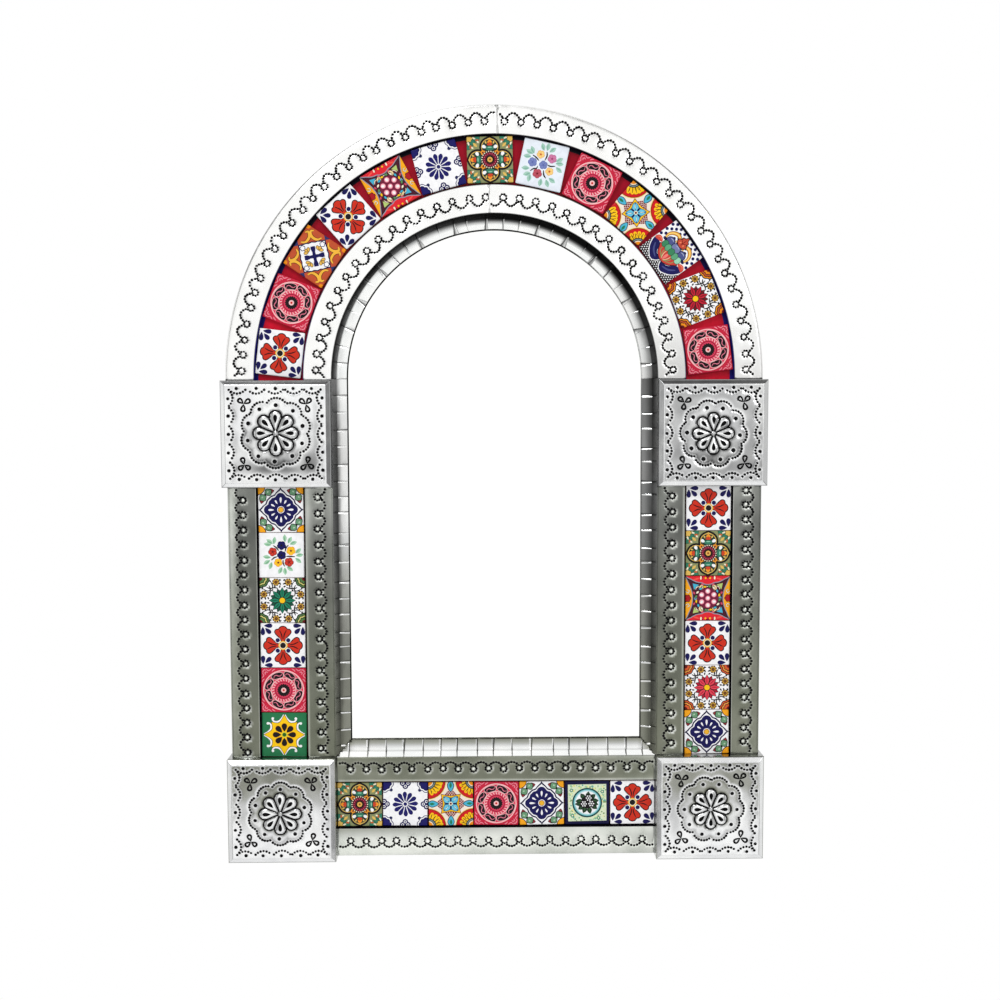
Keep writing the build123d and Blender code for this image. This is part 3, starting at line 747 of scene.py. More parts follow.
def sun_tile():
    """Yellow concave star with black petals on green, white curls at its tips."""
    tile = Painting(srgb(36, 118, 74))
    star = both_eighths([
        (0, 22.4), (5, 19.6), (12, 16.6), (20, 15.0), (28, 14.9), (36, 16.4), (41, 18.2), (45, 20.2)])
    for turn in quarters:
        for way in (1, -1):
            start = 0 if way == 1 else 90
            path = [(2, 22.6), (9, 18.7), (20, 16.4), (31, 16.8), (37, 18.6), (38, 21.4), (35, 22.2)]
            line = [(r * cos(radians(start + way * a)), r * sin(radians(start + way * a))) for a, r in path]
            tile.around(srgb(14, 66, 40), stroke(line, 3.1), 1, turn)
            tile.around(WHITE, stroke(line, 2.1), 1, turn)
            tile.around(WHITE, disc(*line[-1], 1.5, 9), 1, turn)
    for colour, scale in ((srgb(60, 46, 16), 1.03), (srgb(252, 202, 8), 0.985)):
        tile.paint(colour, polar(star, scale))
    tile.lined(BLACK, srgb(224, 140, 20), 0.3, drop(3.6, 0, 9.2, 6.0, 0), 8)
    tile.paint(srgb(214, 206, 60), disc(0, 0, 3.3))
    tile.paint(srgb(30, 96, 30), disc(0, 0, 2.2))
    return tile


def nosegay_tile():
    """Navy border, pale dotted field and a teal ring round a dark nosegay."""
    tile = Painting(DEEP_NAVY)
    tile.paint(srgb(216, 228, 196), [(-21.2, -21.0), (21.6, -20.6), (21.4, 21.0), (-21.4, 20.8)])
    spots = random.Random(5)
    tints = (
        srgb(150, 196, 156), srgb(104, 172, 158), srgb(236, 226, 140), srgb(184, 214, 150),
        srgb(120, 150, 100),
    )
    for _ in range(260):
        x, y = spots.uniform(-20.4, 20.6), spots.uniform(-20.2, 20.2)
        if hypot(x, y) > 17.2:
            tile.paint(spots.choice(tints), disc(x, y, spots.uniform(0.5, 1.3), 7))
    for x, y in ((-16.4, -14.6), (12.8, -17.6), (-17.4, 14.2), (17, 12.4)):
        tile.paint(TEAL, wavy_disc(x, y, 1.6, 5, 0.8))
        tile.paint(CREAM, disc(x, y, 0.9, 7))
    for colour, radius in (
        (srgb(16, 60, 66), 16.8), (srgb(70, 156, 156), 15.3), (srgb(150, 206, 214), 14.6),
        (srgb(206, 230, 234), 13.5), (WHITE, 12.7),
    ):
        tile.paint(colour, disc(0, 0, radius, 36))
    dark_green = srgb(24, 56, 34)
    for x, y, length, angle in (
        (-5, 2.6, 7.4, 180), (-4, -1.2, 8.4, 184), (0.6, 5.2, 7.2, 82), (4, 5.6, 6.6, 40), (6, 2.4, 6.8, 4),
        (5.4, -2.6, 7.2, -36), (2.4, -5.6, 7.0, -78), (-1.6, -5.2, 6.8, -112), (-4.2, -4.0, 6.6, -146),
        (-3.4, 5.4, 6.4, 126), (6, -0.4, 6.6, -14),
    ):
        tile.paint(dark_green, leaf(x * 0.7, y * 0.7, length * 1.3, 5.6, angle))
        tile.paint(srgb(58, 102, 54), leaf(x * 0.7, y * 0.7, length, 0.9, angle))
    flowers = ((-3.6, -1.4), (4.6, -1.2), (1.8, 5.2))
    for x, y in flowers:
        tile.paint(BLACK, wavy_disc(x, y, 4.2, 8, 0.7))
    tile.paint(BLACK, disc(0.4, 0.6, 7.4))
    for x, y in flowers:
        for k in range(6):
            tile.paint(WHITE, disc(x + 2.5 * cos(k * pi / 3), y + 2.5 * sin(k * pi / 3), 0.85, 7))
        tile.paint(WHITE, disc(x, y, 0.9, 7))
    return tile


designs = {
    "clover": clover_tile,
    "medallion": medallion_tile,
    "lattice": lattice_tile,
    "berry": berry_tile,
    "aster": aster_tile,
    "quatrefoil": quatrefoil_tile,
    "posy": bright_posy_tile,
    "soft_posy": soft_posy_tile,
    "fan": fan_tile,
    "tulip": tulip_tile,
    "red_daisy": red_daisy_tile,
    "pink_daisy": pink_daisy_tile,
    "green_daisy": green_daisy_tile,
    "navy_star": navy_star_tile,
    "sun": sun_tile,
    "nosegay": nosegay_tile,
}
rows = {
    "arch_tile": [
        "clover", "medallion", "lattice", "clover", "berry", "aster", "quatrefoil",
        "soft_posy", "medallion", "fan", "tulip", "red_daisy", "medallion",
    ],
    "leg_tile_left": ["navy_star", "posy", "green_daisy", "clover", "medallion", "sun"],
    "leg_tile_right": ["clover", "quatrefoil", "berry", "clover", "pink_daisy", "navy_star"],
    "rail_tile": ["quatrefoil", "aster", "fan", "medallion", "navy_star", "nosegay", "clover"],
}


# ---- Finishes ---------------------------------------------------------------------------------
class Nodes:
    """Shader nodes, added to a tree one by one."""

    def __init__(self, tree):
        self.tree = tree

    def add(self, kind, inputs=None, **settings):
        """New node with its settings and with values or links for its inputs."""
        node = self.tree.nodes.new(kind)
        for key, value in settings.items():
            setattr(node, key, value)
        for socket, value in (inputs or {}).items():
            self.plug(node.inputs[socket], value)
        return node

    def plug(self, socket, value):
        """Link a socket to another, or give it a value."""
        if isinstance(value, bpy.types.NodeSocket):
            self.tree.links.new(value, socket)
        else:
            socket.default_value = value

    def mix(self, factor, a, b, blend="MIX"):
        """Colour a changed towards b by a factor."""
        node = self.add("ShaderNodeMix", data_type="RGBA", blend_type=blend)
        for socket, value in ((node.inputs[0], factor), (node.inputs[6], a), (node.inputs[7], b)):
            self.plug(socket, value)
        return node.outputs[2]

    def maths(self, operation, *values):
        """Result of an operation on one or two values."""
        return self.add("ShaderNodeMath", dict(enumerate(values)), operation=operation).outputs[0]


class Finish(Nodes):
    """Material whose shader is built from nodes."""

    def __init__(self, name):
        self.material = bpy.data.materials.new(name)
        self.material.use_nodes = True
        super().__init__(self.material.node_tree)
        self.shader = self.tree.nodes["Principled BSDF"]
        self.coordinates = self.add("ShaderNodeTexCoord").outputs["Object"]

    def set(self, **sockets):
        """Inputs of the shader, with _ for a space in their names."""
        for name, value in sockets.items():
            self.plug(self.shader.inputs[name.replace("_", " ")], value)

    def noise(self, scale, detail=3.0, stretch=None, distortion=0.0):
        """Noise between 0 and 1, its scale in features per metre."""
        where = self.coordinates
        if stretch:
            where = self.add("ShaderNodeMapping", {"Vector": where, "Scale": stretch}).outputs[0]
        inputs = {"Vector": where, "Scale": scale, "Detail": detail, "Distortion": distortion}
        return self.add("ShaderNodeTexNoise", inputs).outputs[0]

    def ramp(self, value, low, high, out_low=0.0, out_high=1.0):
        """Value between low and high as one between out_low and out_high."""
        inputs = {
            "Value": value, "From Min": low, "From Max": high,
            "To Min": out_low, "To Max": out_high,
        }
        return self.add("ShaderNodeMapRange", inputs).outputs[0]

    def grey(self, value):
        """Grey of a level."""
        return self.add("ShaderNodeCombineColor", {0: value, 1: value, 2: value}).outputs[0]

    def rough(self, value, low, high):
        """Roughness between low and high, following a noise."""
        self.set(Roughness=self.ramp(value, 0.3, 0.7, low, high))

    def attribute(self, name, output="Fac"):
        """What the mesh holds under a name."""
        return self.add("ShaderNodeAttribute", attribute_name=name).outputs[output]

    def bump(self, *layers):
        """Bumps on top of each other, given as (height, distance in mm)."""
        normal = None
        for height, distance in layers:
            inputs = {"Height": height, "Distance": distance * MM, "Strength": 1.0}
            node = self.add("ShaderNodeBump", inputs)
            if normal is not None:
                self.plug(node.inputs["Normal"], normal)
            normal = node.outputs[0]
        self.set(Normal=normal)


# Heights in metres between which the tin's dark painted shade turns olive.
olive_low = -0.6
olive_high = -0.35


def tin(name, colour, rough, spots, has_tone=True):
    """Tinplate: worked, slightly cloudy metal with fine rubbing marks and dull spots.

    spots is the brightness of the dull spots against the rest. Where the mesh has a tone, that
    painted light and shade darkens the colour, and its dark painted shade turns olive down the
    mirror, from olive_high to olive_low in metres.
    """
    finish = Finish(name)
    cloud = finish.noise(26, 4, distortion=0.6)
    grain = finish.noise(420, 3)
    rubbed = finish.noise(700, 2, stretch=(1.0, 1.0, 0.06))
    pale = [min(1.0, value * 1.05) for value in colour[:3]] + [1.0]
    dull = [value * spots for value in colour[:3]] + [1.0]
    base = finish.mix(finish.ramp(cloud, 0.35, 0.68), dull, pale)
    base = finish.mix(finish.ramp(grain, 0.62, 0.8, 0.0, 0.3), base, dull)
    if has_tone:
        tone = finish.attribute("tone")
        height = finish.add("ShaderNodeSeparateXYZ", {"Vector": finish.coordinates}).outputs["Z"]
        # Painted shade: where the tone is dark, low on the mirror, the colour is tinted olive.
        untinted_share = finish.maths(
            "MAXIMUM", finish.ramp(tone, 0.15, 0.6), finish.ramp(height, olive_low, olive_high))
        olive_tinted = finish.mix(1.0, base, srgb(253, 255, 232), "MULTIPLY")
        base = finish.mix(untinted_share, olive_tinted, base)
        # Painted light and shade: the tone darkens the colour.
        base = finish.mix(1.0, base, finish.grey(tone), "MULTIPLY")
    finish.set(Base_Color=base, Metallic=1.0)
    roughness = finish.ramp(cloud, 0.3, 0.75, rough - 0.05, rough + 0.09)
    finish.set(Roughness=finish.maths("ADD", roughness, finish.ramp(rubbed, 0.4, 0.7, 0.0, 0.05)))
    finish.bump((finish.noise(60, 2), 0.18), (grain, 0.012), (rubbed, 0.010))
    return finish.material


def pit_finish():
    """Dark patina in the punched dots and grooves."""
    finish = Finish("punch_patina")
    grime = finish.noise(300, 3)
    colour = finish.mix(finish.ramp(grime, 0.45, 0.75), srgb(6, 6, 7), srgb(26, 26, 28))
    finish.set(Base_Color=colour, Specular_IOR_Level=0.08)
    finish.rough(grime, 0.6, 0.8)
    finish.bump((grime, 0.05))
    return finish.material


def channel_finish():
    """Dark enamel brushed into the tile channel of the legs and the rail."""
    finish = Finish("dark_enamel")
    brush = finish.noise(140, 4, stretch=(1.0, 1.0, 0.25))
    finish.set(Base_Color=finish.mix(brush, srgb(10, 9, 16), srgb(24, 22, 30)), Specular_IOR_Level=0.15)
    finish.rough(brush, 0.25, 0.45)
    finish.bump((brush, 0.08))
    return finish.material


outer_navy = 2.7
inner_navy = 1.5
navy_ragged = 1.4
brush_edge = 0.4
# Heights in metres over which the tray's painted shade grows.
tray_shade_heights = (0.03, 0.16)


def tray_finish():
    """Crimson enamel on the arch tray, with navy brushed round its rims; painted shade darkens both towards
    the top.
    """
    finish = Finish("crimson_enamel")
    parts = finish.add("ShaderNodeSeparateXYZ", {"Vector": finish.coordinates})
    up = finish.maths("SUBTRACT", parts.outputs["Z"], arch_z * MM)
    level = finish.add("ShaderNodeCombineXYZ", {"X": parts.outputs["X"], "Z": up}).outputs[0]
    radius = finish.add("ShaderNodeVectorMath", {0: level}, operation="LENGTH").outputs["Value"]
    reach = finish.maths("ADD", radius, finish.maths("MULTIPLY", finish.noise(110, 3), navy_ragged * MM))
    outer_line, inner_line = channel_outer - outer_navy, channel_inner + inner_navy
    outside = finish.ramp(reach, (outer_line - brush_edge) * MM, outer_line * MM)
    within = finish.ramp(reach, (inner_line + brush_edge) * MM, inner_line * MM)
    brush = finish.noise(85, 4, stretch=(1.0, 1.0, 0.35))
    # Painted shade: crimson and navy darken towards the top of the arch.
    high = finish.ramp(up, *tray_shade_heights)
    streak = finish.ramp(brush, 0.3, 0.7)
    low_red = finish.mix(streak, srgb(204, 8, 40), srgb(232, 18, 54))
    crimson = finish.mix(high, low_red, finish.mix(streak, srgb(146, 0, 28), srgb(172, 4, 38)))
    low_navy = finish.mix(brush, srgb(20, 16, 104), srgb(34, 30, 140))
    navy = finish.mix(high, low_navy, finish.mix(brush, srgb(4, 3, 12), srgb(9, 8, 30)))
    finish.set(Base_Color=finish.mix(finish.maths("MAXIMUM", outside, within), crimson, navy))
    finish.set(Specular_IOR_Level=0.12)
    finish.rough(brush, 0.28, 0.46)
    finish.bump((brush, 0.10), (finish.noise(500, 2), 0.01))
    return finish.material


def glaze_finish():
    """Hand-painted colours under a thick, slightly wavy glaze."""
    finish = Finish("painted_glaze")
    paint = finish.attribute("paint", "Color")
    wash = finish.noise(150, 4, distortion=0.8)
    thin = finish.ramp(wash, 0.3, 0.72, 0.92, 1.04)
    colour = finish.mix(1.0, paint, finish.grey(thin), "MULTIPLY")
    speck = finish.ramp(finish.noise(1500, 1), 0.76, 0.82, 0.0, 0.35)
    colour = finish.mix(speck, colour, srgb(120, 96, 80))
    finish.set(Base_Color=colour, Specular_IOR_Level=0.16)
    finish.rough(wash, 0.1, 0.22)
    finish.bump((finish.noise(70, 2), 0.12), (finish.noise(900, 2), 0.006))
    return finish.material


def clay_finish():
    """Bare fired clay at the back of a tile."""
    finish = Finish("fired_clay")
    grain = finish.noise(900, 4)
    finish.set(Base_Color=finish.mix(grain, srgb(150, 80, 52), srgb(196, 122, 86)))
    finish.rough(grain, 0.75, 0.92)
    finish.bump((grain, 0.08))
    return finish.material


def mirror_finish():
    """Silvered glass with the faintest haze."""
    finish = Finish("silvered_glass")
    haze = finish.noise(9, 3)
    finish.set(Base_Color=finish.mix(haze, srgb(252, 253, 253), srgb(255, 255, 255)), Metallic=1.0)
    finish.set(Roughness=finish.ramp(haze, 0.4, 0.8, 0.012, 0.035))
    return finish.material


def board_finish():
    """Hardboard backing, brown and felted."""
    finish = Finish("hardboard")
    felt = finish.noise(650, 5)
    patch = finish.noise(18, 3)
    brown = finish.mix(patch, srgb(116, 78, 48), srgb(142, 102, 66))
    finish.set(Base_Color=finish.mix(finish.ramp(felt, 0.4, 0.7, 0.0, 0.4), brown, srgb(86, 56, 34)))
    finish.rough(patch, 0.66, 0.84)
    finish.bump((felt, 0.06), (finish.noise(40, 2), 0.10))
    return finish.material


def solder_finish():
    """Dull grey solder, lumpy where it set, brown from flux in places."""
    finish = Finish("solder_metal")
    lump = finish.noise(260, 3)
    flux = finish.ramp(finish.noise(120, 2), 0.55, 0.7)
    finish.set(Base_Color=finish.mix(flux, srgb(168, 168, 166), srgb(118, 96, 70)), Metallic=0.9)
    finish.rough(lump, 0.3, 0.5)
    finish.bump((lump, 0.25))
    return finish.material


bright_tin = tin("bright_tin", srgb(252, 252, 252), 0.26, 0.95)
leg_tin = tin("dull_tin", srgb(247, 252, 244), 0.27, 0.8)
block_tin = tin("block_tin", srgb(248, 249, 252), 0.2, 0.86)
lip_tin = tin("lip_tin", srgb(250, 252, 253), 0.17, 0.94)
back_tin = tin("back_tin", srgb(176, 178, 174), 0.34, 0.7, False)
wire_steel = tin("wire_steel", srgb(150, 150, 152), 0.3, 0.6, False)
punch_pit = pit_finish()
dark_enamel = channel_finish()
crimson_enamel = tray_finish()
glaze = glaze_finish()
clay_body = clay_finish()
silvered_glass = mirror_finish()
hardboard = board_finish()
solder_metal = solder_finish()


# ---- Making meshes --------------------------------------------------------------
solid_share = 0.9
pit_points = 8
pit_floor_share = 0.55
pit_floor_points = 5


def bell(distance, width):
    """Bell-shaped falloff from 1 at distance 0."""
    return exp(-(distance / width) ** 2)


def new_object(name, points, faces, finishes, slots=None, angle=38):
    """Object from points in millimetres, smooth except at edges sharper than angle."""
    mesh = bpy.data.meshes.new(name)
    mesh.from_pydata([tuple(value * MM for value in point) for point in points], [], faces)
    for finish in finishes:
        mesh.materials.append(finish)
    if slots is not None:
        mesh.polygons.foreach_set("material_index", slots)
    mesh.polygons.foreach_set("use_smooth", [True] * len(faces))
    mesh.set_sharp_from_angle(angle=radians(angle))
    mesh.update()
    piece = bpy.data.objects.new(name, mesh)
    bpy.context.collection.objects.link(piece)
    return piece


def trim(piece, cuts):
    """Cut away what lies outside planes given as (point, outward normal)."""
    shape = bmesh.new()
    shape.from_mesh(piece.data)
    for point, normal in cuts:
        everything = shape.verts[:] + shape.edges[:] + shape.faces[:]
        bmesh.ops.bisect_plane(
            shape, geom=everything, plane_co=Vector(point) * MM, plane_no=Vector(normal),
            clear_outer=True)
    shape.to_mesh(piece.data)
    shape.free()


def face_front(piece):
    """Turn the faces so that most of the surface looks to -Y."""
    if sum(face.normal.y * face.area for face in piece.data.polygons) > 0:
        piece.data.flip_normals()


def finish_tin(piece, node, tones, thickness, cuts=()):
    """Give a surface of tin its tones (painted light and shade), cuts and thickness, and let it
    stand for its node.
    """
    attribute = piece.data.attributes.new("tone", "FLOAT", "POINT")
    attribute.data.foreach_set("value", tones)
    if cuts:
        trim(piece, cuts)
    face_front(piece)
    solid = piece.modifiers.new("thickness", "SOLIDIFY")
    solid.thickness = thickness * solid_share * MM
    solid.offset = -1
    solid.use_even_offset = False
    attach(piece, "frame")
    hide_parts(node)


def triangulated(points, loops, cuts=()):
    """Triangles over points, keeping every closed loop and every cut as edges."""
    flat = [Vector(point) for point in points]
    edges = list(cuts)
    for loop in loops:
        start = len(flat)
        flat += [Vector(point) for point in loop]
        count = len(loop)
        edges += [(start + k, start + (k + 1) % count) for k in range(count)]
    result = delaunay_2d_cdt(flat, edges, [], 0, 1e-5, True)
    vertices = np.array([tuple(v) for v in result[0]])
    triangles = np.array([tuple(f) for f in result[2]])
    return vertices, triangles, result[3]


def inside(shape, points):
    """Which points lie in a closed shape."""
    x, y = points[:, 0], points[:, 1]
    result = np.zeros(len(points), bool)
    for (ax, ay), (bx, by) in zip(shape, shape[1:] + shape[:1]):
        if ay == by:
            continue
        crosses = (ay > y) != (by > y)
        result ^= crosses & (x < (bx - ax) * (y - ay) / (by - ay) + ax)
    return result


# ---- Tiles ------------------------------------------------------------------------
shoulder = 1.1
tile_corner = 1.4
tile_margin = 0.25
tile_back_gap = 0.2
tile_grid_step = 2.6
grid_lean = 0.13
glaze_wave = 0.10
face_meshes = {}


def rounded_square(half, corner):
    """Outline of a square with round corners."""
    outline = []
    reach = half - corner
    for quarter, (x, y) in enumerate(((reach, reach), (-reach, reach), (-reach, -reach), (reach, -reach))):
        for step in range(4):
            a = radians(90 * quarter + 30 * step)
            outline.append((x + corner * cos(a), y + corner * sin(a)))
    return outline


def painted_face(painting, half):
    """Vertices, triangles and a colour for each triangle of a tile's face."""
    edge = rounded_square(half, tile_corner)
    inner = [rounded_square(half - inset, tile_corner - 0.2) for inset in (0.3, shoulder)]
    count = int(half / tile_grid_step)
    steps = range(-count, count + 1)
    grid = [(tile_grid_step * i + grid_lean * j, tile_grid_step * j) for i in steps for j in steps]
    shapes = [shape for _, shape in painting.layers]
    vertices, triangles, _ = triangulated(grid, [edge, *inner, *shapes])
    centres = vertices[triangles].mean(axis=1)
    keep = inside(edge, centres)
    triangles, centres = triangles[keep], centres[keep]
    colours = np.array([painting.ground] * len(triangles))
    for colour, shape in painting.layers:
        colours[inside(shape, centres)] = colour
    return vertices, triangles, colours


def rim_order(triangles):
    """Vertices round the open edge of a patch, in order."""
    seen = {}
    for a, b, c in triangles.tolist():
        for pair in ((a, b), (b, c), (c, a)):
            seen[pair] = True
    follow = {a: b for a, b in seen if (b, a) not in seen}
    order = [next(iter(follow))]
    while follow[order[-1]] != order[0]:
        order.append(follow[order[-1]])
    return order


def tile_mesh(design, half, thickness):
    """Points, faces and face colours of a whole tile, its face at height 0 and its back last."""
    vertices, triangles, colours = painted_face(designs[design](), half)
    used = np.unique(triangles)
    renumber = np.full(len(vertices), -1)
    renumber[used] = np.arange(len(used))
    vertices, triangles = vertices[used], renumber[triangles]
    points = []
    for x, y in vertices.tolist():
        gap = min(half - abs(x), half - abs(y))
        rounding = shoulder - sqrt(max(shoulder ** 2 - max(shoulder - gap, 0) ** 2, 0))
        wave = glaze_wave * noise.noise(Vector((x / 14, y / 14, len(design))))
        points.append((x, y, -rounding * 0.9 + wave * min(gap / 4, 1)))
    rim = rim_order(triangles)
    base = len(points)
    points += [(points[v][0], points[v][1], -thickness) for v in rim]
    count = len(rim)
    faces = triangles.tolist()
    for k in range(count):
        after = (k + 1) % count
        faces.append((rim[k], base + k, base + after, rim[after]))
    faces.append(tuple(base + k for k in reversed(range(count))))
    clay = np.array([CLAY] * (count + 1))
    return points, faces, np.concatenate([colours, clay])


def lay_tile(node, design, index):
    """One tile in the place of its CAD node, laid by hand a little out of true.

    Tiles of one design share a mesh, which is made for the first of them.
    """
    low, high = node_box(node)
    x, z = (low.x + high.x) / 2, (low.z + high.z) / 2
    on_arch = node.startswith("arch")
    lean = atan2(x, z - arch_z) if on_arch else 0.0
    hand = random.Random(index * 31 + 3)
    half = tile_size / 2 - tile_margin
    if design not in face_meshes:
        face_meshes[design] = tile_mesh(design, half, tile_back_y - tile_y - tile_back_gap)
    points, faces, colours = face_meshes[design]
    slots = [0] * (len(faces) - 1) + [1]
    tile = new_object("painted_" + node, points, faces, [glaze, clay_body], slots, 30)
    paint = tile.data.attributes.new("paint", "FLOAT_COLOR", "CORNER")
    loops = np.repeat(colours, [len(face) for face in faces], axis=0)
    paint.data.foreach_set("color", loops.astype(np.float32).ravel())
    skew = radians(hand.uniform(-0.7, 0.7))
    upright = Matrix.Rotation(radians(90), 4, "X")
    place = Matrix.Translation(Vector((x, tile_y, z)) * MM)
    tile.matrix_world = place @ Matrix.Rotation(lean + skew, 4, "Y") @ upright
    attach(tile, "frame")
    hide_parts(node)


# ---- Punched sheets -----------------------------------------------------------------
station_step = 3.0
band_grid_step = 2.1
edge_fade = 3
dimple_depth = 0.42
dimple_width = 1.5
pit_depth = 0.55
# Painted highlight hugging each punched dot:
dot_highlight_width = 0.9
dot_highlight_gain = 1.5
ring_swell = 0.5
halo_reach = 3.1
halo_width = 0.9
halo_shade = 0.8


class Sheet:
    """Folded sheet of tin, built strip by strip across its folds.

    Each point has a station along the sheet, a run inward from its outer edge and
    a depth; place() turns them into X, Y and Z. tone gives the painted light and shade at a point,
    dents is the depth of its dents, gleam the painted highlight in the middle of each punched
    ring and halo the strength of the painted highlight and the painted shade round a ring.
    """

    def __init__(self, name, start, end, place, tone, dents, gleam=1.0, halo=0.12):
        self.name = name
        count = max(2, round((end - start) / station_step))
        self.stations = [start + (end - start) * k / count for k in range(count + 1)]
        self.place = place
        self.tone = tone
        self.dents = dents
        self.gleam = gleam
        self.halo = halo
        self.points = []
        self.tones = []
        self.faces = []
        self.slots = []
        self.row = None
        self.edge = None

    def add(self, station, run, depth, tone=None):
        """New point, with the sheet's own tone there or another; its number."""
        self.points.append(self.place(station, run, depth))
        self.tones.append(self.tone(station, run) if tone is None else tone)
        return len(self.points) - 1

    def fold_to(self, run, depth, slot=0, tone=None):
        """Flat strip from the last fold line to the next."""
        row = [self.add(station, run, depth, tone) for station in self.stations]
        if self.row:
            for k in range(len(row) - 1):
                self.faces.append((self.row[k], self.row[k + 1], row[k + 1], row[k]))
                self.slots.append(slot)
        self.row = row
        self.edge = run
        return self

    def wave(self, station, run):
        """Gentle dents of hand-worked tin."""
        seed = len(self.name) * 3.7
        slow = noise.noise(Vector((station / 46, run / 30, seed)))
        quick = noise.noise(Vector((station / 17, run / 15, seed + 9)))
        return self.dents * (0.34 * slow + 0.16 * quick)

    def punched_to(self, run, depth, ornament):
        """Flat strip with an ornament of punched dots and rings."""
        dots, rings = ornament
        start, end = self.stations[0], self.stations[-1]
        low_run = self.edge
        tree = places_tree(dots)
        self.rings = rings
        self.ring_tree = places_tree(rings)
        row = [self.add(station, run, depth) for station in self.stations]
        border = [(station, low_run) for station in self.stations]
        border += [(station, run) for station in self.stations]
        grid = []
        step = band_grid_step
        across = low_run + step
        while across < run - step / 2:
            along = start + step
            while along < end - step / 2:
                _, index, gap = tree.find((along, across, 0))
                if gap > dots[index][2] + 0.6:
                    grid.append((along + 0.2 * sin(across * 3), across))
                along += step
            across += step
        loops = []
        for station, across, radius in dots:
            loops.append(disc(station, across, radius, pit_points))
            grid += disc(station, across, radius * pit_floor_share, pit_floor_points)
            grid.append((station, across))
        count = len(self.stations)
        chain = list(range(count)) + list(range(2 * count - 1, count - 1, -1))
        cuts = list(zip(chain, chain[1:] + chain[:1]))
        vertices, triangles, origins = triangulated(border + grid, loops, cuts)
        known = self.row + row
        numbers = []
        for (station, across), origin in zip(vertices.tolist(), origins):
            first = min(origin) if len(origin) else len(known)
            if first < len(known):
                numbers.append(known[first])
                continue
            height, tone = self.relief(station, across, tree, dots, low_run, run)
            numbers.append(self.add(station, across, depth - height, tone))
        for a, b, c in triangles.tolist():
            middle = (vertices[a] + vertices[b] + vertices[c]) / 3
            _, index, gap = tree.find((middle[0], middle[1], 0))
            self.faces.append((numbers[a], numbers[b], numbers[c]))
            self.slots.append(1 if gap < dots[index][2] else 0)
        self.row = row
        self.edge = run
        return self

    def relief(self, station, run, tree, dots, low_run, high_run):
        """Height of the sheet's front, and its painted brightness, at a point of a band."""
        _, index, gap = tree.find((station, run, 0))
        radius = dots[index][2]
        fade = min(1.0, (run - low_run) / edge_fade, (high_run - run) / edge_fade)
        margin = min(station - self.stations[0], self.stations[-1] - station)
        ends = min(1.0, margin / edge_fade)
        height = self.wave(station, run) * max(fade, 0) * max(ends, 0)
        height -= dimple_depth * self.dents ** 0.5 * bell(max(gap - radius, 0), dimple_width)
        if gap < radius:
            height -= pit_depth * (1 - (gap / radius) ** 2)
        tone, swell = self.ring_light(station, run)
        # Painted highlight round each dot.
        dot_highlight = bell(max(gap - radius, 0), dot_highlight_width)
        return height + swell, tone + (min(1.0, tone * dot_highlight_gain) - tone) * dot_highlight

    def ring_light(self, station, run):
        """Painted brightness at and round a punched ring, and the swelling of its middle.

        A painted highlight fills the middle of a ring; round it a painted highlight lies on one side and a
        painted shade on the other.
        """
        tone = self.tone(station, run)
        spot, index, gap = self.ring_tree.find((station, run, 0))
        size = self.rings[index][2] - dot_size
        if gap < size:
            middle = 1 - (gap / size) ** 2
            return tone + (self.gleam - tone) * middle ** 0.5, ring_swell * middle
        here = self.place(station, run, 0)
        there = self.place(spot[0], spot[1], 0)
        lean = (here[0] - there[0] - here[2] + there[2]) / gap / sqrt(2)
        rim = self.halo * bell(gap - size - halo_reach, halo_width) * lean
        if rim > 0:
            return tone + (1 - tone) * rim, 0.0
        return tone * (1 + halo_shade * rim), 0.0

    def finished(self, finishes, node):
        """The sheet as an object, standing for its node."""
        piece = new_object(self.name, self.points, self.faces, finishes, self.slots)
        finish_tin(piece, node, self.tones, sheet)


# ---- Punched ornament of the bands -----------------------------------------------------
dot_size = 1.42
ring_size = 3.4
dot_spacing = 3.2
ring_dots = 8
scallop_gap = 1.6
scallop_inset = 0.86
scallop_steps = 16
end_margin = 1.8
hem_y = -0.02
flange_lines = (-5.5, -11.0)
return_depth = 2.5


def places_tree(items):
    """Search tree over the first two numbers of every item."""
    tree = KDTree(len(items))
    for index, item in enumerate(items):
        tree.insert((item[0], item[1], 0), index)
    tree.balance()
    return tree


def loop_chain(seed, start, end, count, gaps, centre, way, rise):
    """Small dotted rings joined by dotted scallops, which run on to both ends.

    gaps are the distances from the ends to the first and the last ring, centre the run of
    the rings, way the side on which the scallops lie and rise how far they reach. The
    result is the dots and the rings, each as (station, run, radius).
    """
    hand = random.Random(seed)
    pitch = (end - start - gaps[0] - gaps[1]) / (count - 1)
    places = [start + gaps[0] + pitch * k + hand.uniform(-0.6, 0.6) for k in range(count)]
    middles = [centre + hand.uniform(-0.5, 0.5) for _ in places]
    dots, rings = [], []
    for place, middle in zip(places, middles):
        size = ring_size * hand.uniform(0.94, 1.06)
        spin = hand.uniform(0, 1)
        rings.append((place, middle, size))
        for k in range(ring_dots):
            a = 2 * pi * (k + spin) / ring_dots
            dots.append((
                place + size * cos(a) + hand.uniform(-0.16, 0.16),
                middle + size * sin(a) + hand.uniform(-0.16, 0.16),
                dot_size * hand.uniform(0.86, 1.06)))
    along = [places[0] - pitch, *places, places[-1] + pitch]
    across = [middles[0], *middles, middles[-1]]
    low, inset = ring_size + scallop_gap, ring_size * scallop_inset
    for k in range(count + 1):
        span = along[k + 1] - along[k] - 2 * inset
        path = []
        for step in range(scallop_steps + 1):
            share = step / scallop_steps
            run = across[k] + (across[k + 1] - across[k]) * share
            lift = low + (rise - low) * sin(pi * share) ** 0.8
            path.append((along[k] + inset + span * share, run + way * lift))
        for station, run in evenly(path, dot_spacing):
            if start + end_margin < station < end - end_margin:
                dots.append((station, run, dot_size * hand.uniform(1.0, 1.14)))
    return spread(dots), rings


